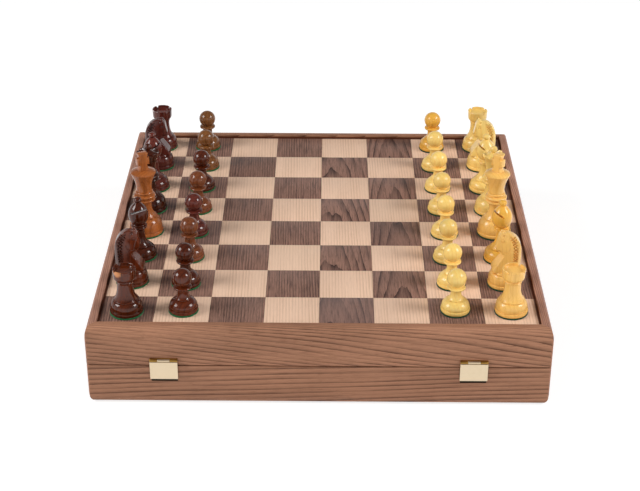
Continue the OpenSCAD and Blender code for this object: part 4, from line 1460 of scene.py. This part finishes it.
@dataclass
class Man:
    """A turned chessman, in millimetres, with what all men share."""

    foot_mm: float = 25.0
    height_mm: float = 38.5
    bell_mm: float = 9.0
    neck_share: float = 0.26
    baize_mm: float = 1.2
    ring_mm: float = 3.2
    bead_mm: float = 1.3
    steps: int = 72

    @property
    def bell_top(self) -> float:
        """The height of the bead on the bell."""
        return self.baize_mm + self.ring_mm + self.bell_mm + self.bead_mm + 0.1

    @property
    def neck_r(self) -> float:
        """The radius that the bell closes in to."""
        return self.foot_mm * self.neck_share

    def bell(self) -> list[Point2]:
        """The outline of the foot ring and bell, from the axis up to the bead."""
        r, z = self.foot_mm / 2, self.baize_mm + self.ring_mm
        half, neck_r, top = self.ring_mm / 2, self.neck_r, z + self.bell_mm
        return [
            (0.0, self.baize_mm), (r - 0.9, self.baize_mm),
            *oval(r - 0.85, self.baize_mm + half, 0.65, half, -88, 62, 10),
            (r - 1.1, z - 0.1),
            *bend((r - 1.1, z - 0.1), (r - 0.1, z + self.bell_mm * 0.4),
                  (neck_r + (r - neck_r) * 0.55, z + self.bell_mm * 0.86),
                  (neck_r + 0.35, top), 18),
            (neck_r + 0.1, top + 0.1),
            *bead(neck_r + 0.3, top + 0.1, self.bead_mm),
        ]

    def outline(self) -> list[Point2]:
        """The whole half outline. Each kind of man has its own."""
        raise NotImplementedError

    def carve(self, obj: bpy.types.Object) -> None:
        """Cuts what the lathe can't make. Most men need nothing more."""

    def build(self, name: str) -> bpy.types.Object:
        """Turns and carves the man.

        Args:
            name: the pattern's name.

        Returns:
            The man, standing on the origin.
        """
        obj = lathe(name, self.outline(), self.steps)
        self.carve(obj)
        return obj

    def pad(self, name: str) -> bpy.types.Object:
        """Makes the baize pad, a little wider than the wood.

        Args:
            name: the pattern's name.

        Returns:
            The pad, standing on the origin.
        """
        r, t = self.foot_mm / 2, self.baize_mm
        return lathe(name, [(0, 0), (r - 0.25, 0), (r + 0.02, 0.2), (r + 0.06, t * 0.5),
                            (r - 0.02, t * 0.85), (r - 0.3, t), (0, t)], 64)


@dataclass
class Pawn(Man):
    """A ball on a collar."""

    height_mm: float = 39.2
    bell_mm: float = 7.2
    stem_mm: float = 8.8
    collar_mm: float = 15.2
    collar_t: float = 1.8
    ball_mm: float = 16.0

    def outline(self) -> list[Point2]:
        """The pawn's half outline."""
        t, foot, ball = self.collar_t, self.bell_top, self.ball_mm / 2
        ball_z = self.height_mm - ball
        z = ball_z - ball * 0.94 - t
        return [
            *self.bell(),
            *neck(self.neck_r - 0.4, foot, self.stem_mm / 2, foot + (z - foot) * 0.6,
                  self.stem_mm / 2 + 1.2, z),
            *bead(self.collar_mm / 2, z, t),
            (self.collar_mm / 2 - 2.4, z + t + 0.15),
            *oval(0, ball_z, ball, ball, -58, 90, 28),
        ]


@dataclass
class Rook(Man):
    """A drum with four notches."""

    foot_mm: float = 28.0
    height_mm: float = 41.5
    bell_mm: float = 7.8
    neck_share: float = 0.36
    waist_mm: float = 13.2
    castle_mm: float = 19.2
    castle_h: float = 9.4
    wall_mm: float = 1.2
    hollow_mm: float = 2.6
    notch_turn: float = radians(36)

    def outline(self) -> list[Point2]:
        """The rook's half outline."""
        top, z = self.castle_mm / 2, self.height_mm - self.castle_h
        waist, foot, h = self.waist_mm / 2, self.bell_top, self.height_mm
        inside = top - self.wall_mm
        return [
            *self.bell(),
            *neck(self.neck_r - 0.4, foot, waist, foot + (z - foot) * 0.72,
                  waist + 0.5, z - 2.4),
            (waist + 0.25, z - 2.1), (waist + 0.65, z - 1.9), (waist + 0.7, z - 1.1),
            (waist + 0.3, z - 0.9), (waist + 0.7, z - 0.6), (waist + 0.7, z),
            *bend((waist + 0.7, z), (top - 1.0, z), (top - 0.5, z + 0.8),
                  (top - 0.3, z + 2.6), 12),
            (top - 0.1, h - 1.2), (top, h - 0.3), (top - 0.2, h), (inside + 0.15, h),
            (inside, h - 0.15),
            (inside - 0.2, h - self.hollow_mm + 0.4),
            (inside - 0.7, h - self.hollow_mm), (0, h - self.hollow_mm - 0.5),
        ]

    def carve(self, obj: bpy.types.Object) -> None:
        """Cuts the four notches."""
        top, h = self.castle_mm / 2 * MM, self.height_mm * MM
        reach = self.wall_mm * MM + MM
        tools = []
        for i in range(4):
            tool = slab("notch", [
                Vector((top - reach, -2.0 * MM, h + MM)),
                Vector((top - reach, -0.5 * MM, h - self.hollow_mm * 0.75 * MM)),
                Vector((top - reach, 0.5 * MM, h - self.hollow_mm * 0.75 * MM)),
                Vector((top - reach, 2.0 * MM, h + MM)),
            ], Vector((reach + MM, 0, 0)))
            tool.data.transform(Matrix.Rotation(i * pi / 2 + self.notch_turn, 4, "Z"))
            tools.append(tool)
        combine(obj, tools)


@dataclass
class Bishop(Man):
    """A mitre with a slanted cut."""

    foot_mm: float = 28.6
    height_mm: float = 57.5
    bell_mm: float = 6.8
    neck_share: float = 0.31
    stem_mm: float = 9.0
    collar_mm: float = 14.0
    mitre_mm: float = 17.4
    mitre_h: float = 20.0
    finial_mm: float = 7.0
    finial_h: float = 5.2
    cut_mm: float = 1.5

    @property
    def mitre_z(self) -> float:
        """The height that the mitre starts at."""
        return self.height_mm - self.finial_h * 0.9 - self.mitre_h

    def outline(self) -> list[Point2]:
        """The bishop's half outline."""
        r, z, h, t = self.mitre_mm / 2, self.mitre_z, self.mitre_h, 1.5
        collars, stem = z - 3 * t, self.stem_mm / 2
        wide, c, finial = z + h * 0.42, self.collar_mm / 2, self.finial_mm / 2
        return [
            *self.bell(),
            *neck(self.neck_r - 0.4, self.bell_top, stem,
                  self.bell_top + (collars - self.bell_top) * 0.7, stem + 1.2, collars),
            *bead(c - 0.4, collars, t), *bead(c, collars + t, t),
            *bead(c - 0.6, collars + 2 * t, t),
            (r * 0.62, z),
            *bend((r * 0.62, z), (r * 0.92, z + h * 0.1), (r, wide - h * 0.14),
                  (r, wide), 12),
            *bend((r, wide), (r, wide + h * 0.3), (r * 0.5, z + h * 0.9),
                  (finial * 0.56, z + h), 16),
            *oval(0, self.height_mm - self.finial_h / 2, finial, self.finial_h / 2,
                  -50, 90, 14),
        ]

    def carve(self, obj: bpy.types.Object) -> None:
        """Makes the slanted cut, open on the side that the bishop faces."""
        r = self.mitre_mm / 2 * MM
        half = Vector((2.1 * r, 3 * r, self.cut_mm * MM)) / 2
        tool = block("cut", -half, half)
        z = (self.mitre_z + self.mitre_h * 0.78) * MM
        tool.data.transform(Matrix.Translation((r, 0, z)) @ Matrix.Rotation(
            radians(-28), 4, "Y"))
        combine(obj, [tool])


@dataclass
class Royal(Man):
    """What king and queen share: a tall stem, three collars and a flared head."""

    neck_share: float = 0.31
    stem_mm: float = 11.6
    collar_mm: float = 19.4
    collars_z: float = 33.4
    head_mm: float = 22.4
    waist_mm: float = 14.0
    rim_mm: float = 60.4

    def up_to_rim(self) -> list[Point2]:
        """The outline from the axis at the foot up to the head's rim."""
        c, stem, waist = self.collar_mm / 2, self.stem_mm / 2, self.waist_mm / 2
        z, t, foot = self.collars_z, (self.rim_mm - self.collars_z) * 0.1, self.bell_top
        head, rim = z + 3.7 * t, self.head_mm / 2
        rise = self.rim_mm - head
        return [
            *self.bell(),
            *neck(self.neck_r - 0.4, foot, stem, foot + (z - foot) * 0.66,
                  stem + 1.2, z - 0.4 * t),
            *bead(c - 0.2, z - 0.4 * t, t * 0.95), (c - 1.9, z + t * 0.7),
            *bead(c, z + t * 0.85, t * 1.1), (c - 2.2, z + t * 2.1),
            *bead(c - 1.7, z + t * 2.3, t * 0.8), (waist + 0.15, z + t * 3.3),
            (waist, head),
            *bend((waist, head), (waist - 0.5, head + rise * 0.3),
                  (waist + (rim - waist) * 0.3, head + rise * 0.58),
                  (rim - 0.1, self.rim_mm - 1.0), 16),
            (rim, self.rim_mm - 0.5),
        ]


@dataclass
class Queen(Royal):
    """A scalloped coronet with a pearl."""

    foot_mm: float = 30.0
    height_mm: float = 66.5
    bell_mm: float = 10.0
    stem_mm: float = 10.4
    collar_mm: float = 17.8
    collars_z: float = 31.0
    head_mm: float = 20.6
    waist_mm: float = 12.4

    def __post_init__(self) -> None:
        """Sets the rim from the height and the pearl."""
        self.rim_mm = self.height_mm - 2 * self.pearl - 1

    @property
    def pearl(self) -> float:
        """The radius of the pearl."""
        return self.head_mm * 0.16

    def outline(self) -> list[Point2]:
        """The queen's half outline."""
        r, z, pearl = self.head_mm / 2, self.rim_mm, self.pearl
        return [
            *self.up_to_rim(),
            (r - 0.2, z), (r - 1.5, z), (r - 2.5, z - 1.4),
            *bend((r - 2.5, z - 1.4), (r * 0.5, z - 1), (r * 0.4, z + 0.6),
                  (pearl * 0.7, z + 1.4), 8),
            *oval(0, self.height_mm - pearl, pearl, pearl, -45, 90, 16),
        ]

    def carve(self, obj: bpy.types.Object) -> None:
        """Cuts the scallops round the coronet."""
        r = self.head_mm / 2 * MM
        tools = []
        for i in range(8):
            tool = rod("scallop", Vector((r * 0.62, 0, (self.rim_mm + 1) * MM)), r,
                       r * 0.26, TO_X, 28)
            tool.data.transform(Matrix.Rotation(radians(45 * i + 22.5), 4, "Z"))
            tools.append(tool)
        combine(obj, tools)


@dataclass
class King(Royal):
    """A domed crown with a cross."""

    foot_mm: float = 31.0
    height_mm: float = 78.7
    bell_mm: float = 11.8
    cross_h: float = 17.5
    cross_w: float = 11.0
    cross_t: float = 6.4
    cross_turn: float = radians(30)

    def __post_init__(self) -> None:
        """Sets the rim from the height and the cross."""
        self.rim_mm = self.height_mm - self.cross_h - 0.8

    def outline(self) -> list[Point2]:
        """The king's half outline."""
        r, z = self.head_mm / 2, self.rim_mm
        return [
            *self.up_to_rim(), (r - 0.15, z), (r - 0.7, z + 0.25),
            *bend((r - 0.7, z + 0.25), (r * 0.8, z + 1.5), (r * 0.45, z + 2.1),
                  (0, z + 2.3), 10),
        ]

    def carve(self, obj: bpy.types.Object) -> None:
        """Adds the cross with its spread arms and softened edges."""
        w, h, z = self.cross_w / 2, self.cross_h, self.rim_mm + 0.8
        half = [(w * across, z + h * up) for across, up in (
            (0.9, 0), (0.86, 0.12), (0.62, 0.24), (0.6, 0.38), (1, 0.34), (1, 0.78),
            (0.64, 0.7), (0.62, 0.8), (0.84, 1))]
        whole = half + [(-x, y) for x, y in reversed(half)]
        cross = slab("cross", [Vector((x * MM, -self.cross_t / 2 * MM, y * MM))
                               for x, y in whole], Vector((0, self.cross_t * MM, 0)))
        ease(cross, 0.8 * MM, None, 3)
        cross.data.transform(Matrix.Rotation(self.cross_turn, 4, "Z"))
        combine(obj, [cross], "UNION")


def ball(name: str, at_mm: Sequence[float], radius_mm: float) -> bpy.types.Object:
    """A ball that hollows out what it touches."""
    bpy.ops.mesh.primitive_uv_sphere_add(
        location=Vector(at_mm) * MM, radius=radius_mm * MM, segments=16, ring_count=10)
    return active(name)


def ring(
    name: str, at_mm: Sequence[float], radius_mm: float, groove_mm: float, steps: int
) -> bpy.types.Object:
    """A ring that stands upright along X and leaves a round groove.

    Args:
        name: the ring's name.
        at_mm: its middle.
        radius_mm: the radius of the line along its middle.
        groove_mm: the radius of its section.
        steps: how many steps make the full turn.

    Returns:
        The ring.
    """
    bpy.ops.mesh.primitive_torus_add(
        location=Vector(at_mm) * MM, rotation=(pi / 2, 0, 0),
        major_radius=radius_mm * MM, minor_radius=groove_mm * MM,
        major_segments=steps, minor_segments=8)
    return active(name)


@dataclass
class Knight(Man):
    """A carved horse's head on a turned bell."""

    foot_mm: float = 28.0
    height_mm: float = 52.0
    bell_mm: float = 8.7
    neck_share: float = 0.38
    thick_mm: float = 13.0
    band_mm: float = 3.2
    grain_mm: float = 0.45

    def outline(self) -> list[Point2]:
        """The half outline of the knight's base."""
        z = self.bell_top
        return [*self.bell(), (self.neck_r - 0.4, z), (self.neck_r - 0.8, z + 0.7),
                (0, z + 0.7)]

    def side(self) -> list[Point2]:
        """The head's side outline, facing +X, from the chest round to the back."""
        z, h = self.bell_top, self.height_mm - self.bell_top
        return [
            (11.2, z), *bend((11.2, z), (10.6, z + h * 0.12), (6, z + h * 0.24),
                             (1.8, z + h * 0.42), 12),
            *[(x, z + h * share) for x, share in (
                (2.6, 0.455), (4.6, 0.475), (6.0, 0.50), (7.6, 0.515), (8.2, 0.535),
                (8.0, 0.56), (8.7, 0.585), (8.8, 0.62), (8.2, 0.68), (7.5, 0.76),
                (7.2, 0.83), (6.7, 0.885), (5.6, 0.93), (4.3, 0.995), (3.0, 0.985),
                (1.6, 0.955))],
            *bend((0.8, z + h * 0.965), (-6.4, z + h * 0.96), (-13, z + h * 0.76),
                  (-13, z + h * 0.5), 18),
            *bend((-13, z + h * 0.5), (-13.2, z + h * 0.3), (-13.1, z + h * 0.16),
                  (-12, z), 8),
        ]

    def flank(self, height: float) -> float:
        """How far the head's side is from its middle at a height."""
        points = self.front()
        for (y0, z0), (y1, z1) in zip(points, points[1:]):
            if z0 <= height <= z1:
                return y0 + (y1 - y0) * (height - z0) / max(z1 - z0, NEAR)
        return points[-1][0]

    def front(self) -> list[Point2]:
        """Half of the head's front outline, from the neck up to the ears."""
        z, h, t = self.bell_top, self.height_mm - self.bell_top, self.thick_mm / 2
        return [
            (t + 1.6, z - 0.2),
            *bend((t + 1.6, z), (t, z + h * 0.3), (t, z + h * 0.4),
                  (t - 0.6, z + h * 0.6), 10),
            *bend((t - 0.6, z + h * 0.6), (t - 1.4, z + h * 0.8), (3.4, z + h * 0.9),
                  (2.6, z + h + 1), 10),
        ]

    def top(self) -> list[Point2]:
        """Half of the head's outline from above, from the muzzle to the mane."""
        t, back = self.thick_mm / 2 + 2, self.band_mm
        return [(14, t), (4, t), (back - 13, t - 1.6), (-13, t - 1.6 - back * 1.2),
                (-14, t - 1.6 - back * 1.6)]

    def head(self) -> bpy.types.Object:
        """Saws the head from three sides and softens it.

        Returns:
            The head without its details.
        """
        deep = self.foot_mm * MM
        obj = slab("head", [Vector((x * MM, -deep / 2, z * MM)) for x, z in self.side()],
                   Vector((0, deep, 0)))
        half = self.front()
        face = half + [(-y, z) for y, z in reversed(half)]
        front = slab("front", [Vector((-deep, y * MM, z * MM)) for y, z in face],
                     Vector((2 * deep, 0, 0)))
        combine(obj, [front], "INTERSECT")
        half = self.top()
        plan = half + [(x, -y) for x, y in reversed(half)]
        above = slab("above", [Vector((x * MM, y * MM, 0)) for x, y in plan],
                     Vector((0, 0, 80 * MM)))
        combine(obj, [above], "INTERSECT")
        combine(obj, self.muzzle_cuts())
        modify(obj, "REMESH", mode="VOXEL", voxel_size=self.grain_mm * MM)
        modify(obj, "SMOOTH", factor=0.5, iterations=14)
        return obj

    def muzzle_cuts(self) -> list[bpy.types.Object]:
        """The cuts that narrow the muzzle and part the ears.

        Returns:
            The cutting solids.
        """
        z, h = self.bell_top, self.height_mm - self.bell_top
        low, high = (z + h * 0.47) * MM, (z + h * 0.86) * MM
        tools = []
        for way in (-1, 1):
            tools.append(slab("cheek", [
                Vector((3.2 * MM, way * 6.4 * MM, low)),
                Vector((10 * MM, way * 2.7 * MM, low)),
                Vector((10 * MM, way * 9 * MM, low)),
                Vector((3.2 * MM, way * 9 * MM, low))], Vector((0, 0, high - low))))
        tools.append(slab("parting", [
            Vector((0.9 * MM, 0, (z + h * 0.90) * MM)),
            Vector((0.9 * MM, 1.8 * MM, (z + h + 1) * MM)),
            Vector((0.9 * MM, -1.8 * MM, (z + h + 1) * MM))], Vector((9 * MM, 0, 0))))
        return tools

    def details(self) -> list[bpy.types.Object]:
        """The cuts of mane, mouth, nostrils, eyes and jaw.

        Returns:
            The cutting solids.
        """
        z, h = self.bell_top, self.height_mm - self.bell_top
        tools = []
        mane = bend((-3.6, z + h * 0.88), (-6.4, z + h * 0.80), (-8.0, z + h * 0.68),
                    (-8.1, z + h * 0.5), 6)
        mane += bend((-8.1, z + h * 0.5), (-8.1, z + h * 0.4), (-7.9, z + h * 0.3),
                     (-7.7, z + h * 0.2), 5)
        for way in (-1, 1):
            for x, y in mane:
                for lean in (38, -38):
                    tool = block("lock", Vector((-2.6, -1.7, -0.45)) * MM,
                                 Vector((2.6, 1.7, 0.45)) * MM)
                    tool.data.transform(
                        Matrix.Translation(Vector((x, way * self.flank(y), y)) * MM)
                        @ Matrix.Rotation(radians(lean), 4, "Y"))
                    tools.append(tool)
            ear, eye = z + h * 0.905, z + h * 0.785
            tools += [
                ball("ear hollow", (2.6, way * (self.flank(ear) + 0.7), ear), 1.5),
                ring("eye", (3.7, way * self.flank(eye), eye), 1.15, 0.6, 24),
                ball("nostril", (7.7, way * 3.2, z + h * 0.63), 0.75),
                ring("jaw", (1.4, way * 6.1, z + h * 0.62), 4.2, 0.5, 40),
            ]
        mouth = block("mouth", Vector((4.4, -8, -0.25)) * MM, Vector((11, 8, 0.25)) * MM)
        mouth.data.transform(Matrix.Translation((0, 0, (z + h * 0.535) * MM))
                             @ Matrix.Rotation(radians(-6), 4, "Y"))
        tools.append(mouth)
        return tools

    def build(self, name: str) -> bpy.types.Object:
        """Carves the head and sets it on its turned base.

        Args:
            name: the pattern's name.

        Returns:
            The knight, facing +X and standing on the origin.
        """
        obj = lathe(name, self.outline(), self.steps)
        head = self.head()
        combine(head, self.details())
        modify(head, "SMOOTH", factor=0.35, iterations=2)
        combine(obj, [head], "UNION")
        return obj


@dataclass
class ChessSet:
    """All 32 men, each placed where its CAD solid stands."""

    patterns: dict[str, Man] = field(default_factory=lambda: {
        "pawn": Pawn(), "rook": Rook(), "knight": Knight(), "bishop": Bishop(),
        "queen": Queen(), "king": King()})
    looks: dict[str, Wood] = field(default_factory=lambda: {
        "dark_king": ROSY_BROWN, "dark_rook_front": BLACK_BROWN,
        "dark_knight_front": DEEP_BROWN, "dark_pawn_1": DEEP_BROWN,
        "dark_pawn_3": ORANGE_BROWN, "dark_pawn_4": RED_BROWN,
        "dark_pawn_5": ORANGE_BROWN, "dark_pawn_6": DEEP_BROWN,
        "dark_pawn_7": OLIVE_BROWN, "dark_pawn_8": OLIVE_BROWN,
        "dark_rook_back": RED_BROWN, "dark_knight_back": RED_BROWN,
        "dark_bishop_back": RED_BROWN, "light_pawn_8": GOLD_BOXWOOD,
        "light_bishop_front": GOLD_BOXWOOD, "light_king": TAN_BOXWOOD,
        "light_knight_front": TAN_BOXWOOD, "light_rook_front": TAN_BOXWOOD})
    turns: dict[str, float] = field(default_factory=lambda: {
        "light_king": radians(-70), "light_rook_front": radians(20),
        "dark_bishop_front": radians(-50), "light_bishop_front": radians(12)})

    def names(self, kind: str) -> list[str]:
        """The CAD nodes of one kind of man."""
        return sorted(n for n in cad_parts
                      if n.startswith(("dark_", "light_")) and kind in n.split("_"))

    def build(self) -> None:
        """Models each kind once and places a copy for every man."""
        for kind, pattern in self.patterns.items():
            wood, pad = pattern.build(kind), pattern.pad("pad")
            for node in self.names(kind):
                self.place(node, wood, pad)
            bpy.data.objects.remove(wood)
            bpy.data.objects.remove(pad)

    def place(
        self, node: str, wood: bpy.types.Object, pad: bpy.types.Object
    ) -> None:
        """Places one man and his baize.

        Args:
            node: the man's CAD node.
            wood: the pattern of his wood.
            pad: the pattern of his baize.
        """
        army = Army.DARK if node.startswith("dark") else Army.LIGHT
        low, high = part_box(node)
        at = ((low.x + high.x) / 2, (low.y + high.y) / 2, low.z)
        turn = army.value + self.turns.get(node, 0.0)
        plain = EBONY_BROWN if army is Army.DARK else BOXWOOD
        baize = DARK_BAIZE if army is Army.DARK else LIGHT_BAIZE
        body = node + "_body"
        finish(copy_to(wood, node + "_wood", at, turn), body,
               self.looks.get(node, plain), [node], 34)
        finish(copy_to(pad, node + "_baize", at, turn), body, baize)


# ----------------------------------------------------------------------- studio


@dataclass
class Studio:
    """The pale floor, the soft lights and the camera."""

    lens: float = 83.546
    eye: tuple[float, float, float] = (0.00783, -1.20283, 0.71209)
    aim: tuple[float, float, float] = (1.06432, -0.00248, 0.00842)
    fill: float = 0.2
    white: float = 1.0
    floor_glow: float = 0.71
    floor_size: float = 12.0
    floor_z: float = -0.0002
    lamps_aim: tuple[float, float, float] = (0.0, 0.0, 0.05)

    def floor(self) -> None:
        """Lays the floor: white to the eye, and it keeps the case's shadow."""
        place = (0, 0, self.floor_z)
        bpy.ops.mesh.primitive_plane_add(size=self.floor_size, location=place)
        obj = active("floor")
        made = bpy.data.materials.new("studio floor")
        made.use_nodes = True
        made.node_tree.nodes.clear()
        g = Graph(made.node_tree)
        rays = g.add("LightPath")
        seen = g.math("MAXIMUM", rays.outputs["Is Camera Ray"],
                      g.math("MAXIMUM", rays.outputs["Is Glossy Ray"],
                             rays.outputs["Is Transmission Ray"]))
        tone = g.span(seen, 0.0, 1.0, 0.86, 0.45)
        matt = g.add("BsdfDiffuse", {"Color": g.add("CombineColor", {
            0: tone, 1: tone, 2: tone}).outputs[0]})
        glow = g.add("Emission", {"Color": (1, 1, 1, 1),
                                  "Strength": g.math("MULTIPLY", seen, self.floor_glow)})
        blend = g.add("AddShader", {0: matt.outputs[0], 1: glow.outputs[0]})
        end = g.add("OutputMaterial")
        g.tree.links.new(blend.outputs[0], end.inputs["Surface"])
        obj.data.materials.append(made)

    def world(self) -> None:
        """Sets a white backdrop, with a lower level for the light that it gives.

        The eye sees white all round. Metal and gloss see it up to a little above the
        horizon, where the backdrop ends, and the dimmer room above it.
        """
        world = bpy.data.worlds.new("surround")
        bpy.context.scene.world = world
        world.use_nodes = True
        world.node_tree.nodes.clear()
        g = Graph(world.node_tree)
        rays = g.add("LightPath").outputs
        up = g.add("SeparateXYZ", {0: g.add("TexCoord").outputs["Generated"]}).outputs[2]
        mirrored = g.math("MAXIMUM", rays["Is Glossy Ray"], rays["Is Transmission Ray"])
        wall = g.math("MULTIPLY", mirrored, g.span(up, 0.2, 0.5, 1.0, 0.0))
        seen = g.math("MAXIMUM", rays["Is Camera Ray"], wall)
        level = g.span(seen, 0.0, 1.0, self.fill, self.white)
        light = g.add("Background", {"Color": (1, 1, 1, 1), "Strength": level})
        end = g.add("OutputWorld")
        g.tree.links.new(light.outputs[0], end.inputs["Surface"])

    def softbox(
        self, name: str, at: Sequence[float], size: tuple[float, float], power: float,
        mirrored: bool = True,
    ) -> None:
        """Hangs a rectangular light that faces the middle of the board.

        Args:
            name: the light's name.
            at: its place.
            size: its width and height.
            power: its power in watts.
            mirrored: whether it shows in gloss and metal.
        """
        data = bpy.data.lights.new(name, "AREA")
        data.shape, data.size, data.size_y, data.energy = "RECTANGLE", *size, power
        lamp = bpy.data.objects.new(name, data)
        bpy.context.scene.collection.objects.link(lamp)
        lamp.location = at
        lamp.visible_glossy = mirrored
        aim = Vector(self.lamps_aim) - Vector(at)
        lamp.rotation_euler = aim.to_track_quat("-Z", "Y").to_euler()

    def camera(self) -> None:
        """Sets up the camera."""
        data = bpy.data.cameras.new("camera")
        data.lens, data.sensor_width, data.sensor_fit = self.lens, 36.0, "HORIZONTAL"
        data.clip_start, data.clip_end = 0.05, 50.0
        obj = bpy.data.objects.new("camera", data)
        bpy.context.scene.collection.objects.link(obj)
        obj.location, obj.rotation_euler = self.eye, self.aim
        bpy.context.scene.camera = obj

    def build(self) -> None:
        """Sets up the whole studio."""
        self.camera()
        self.floor()
        self.world()
        self.softbox("left softbox", (-1.6, -0.4, 1.25), (0.9, 0.8), 24)
        self.softbox("right softbox", (1.6, -0.4, 1.25), (0.7, 0.7), 22)
        self.softbox("front fill", (0, -2.4, 0.9), (2.4, 1.2), 14, mirrored=False)
        bpy.context.scene.view_settings.view_transform = "Standard"


def build_screws(hinges: Hinges, latches: Latches) -> None:
    """Makes the screws of the lid and of the base, one object each.

    Args:
        hinges: the hinges, whose leaves they hold.
        latches: the latches, whose plates they hold.
    """
    for body, way in (("lid", 1), ("base", -1)):
        node = f"{body}_screws"
        low, high = latches.parts["latch_brackets" if way > 0 else "latch_keepers"]
        if way > 0:
            height = (low.z + 2 * latches.axis[1] - high.z) / 2
        else:
            height = (latches.ridge_z + latches.ridge_h + high.z) / 2
        made = hinges.screws(way) + latches.screws(node, height)
        finish(join(made, node + "_brass"), body, SCREW, [node])


def main() -> None:
    """Builds the case, its fittings, the men and the studio."""
    logging.basicConfig(level=logging.INFO, format="%(name)s: %(message)s")
    Case().build()
    PlayingBoard().build()
    hinges, latches = Hinges(), Latches()
    hinges.build()
    latches.build()
    build_screws(hinges, latches)
    ChessSet().build()
    Studio().build()


if __name__ == "__main__":
    main()
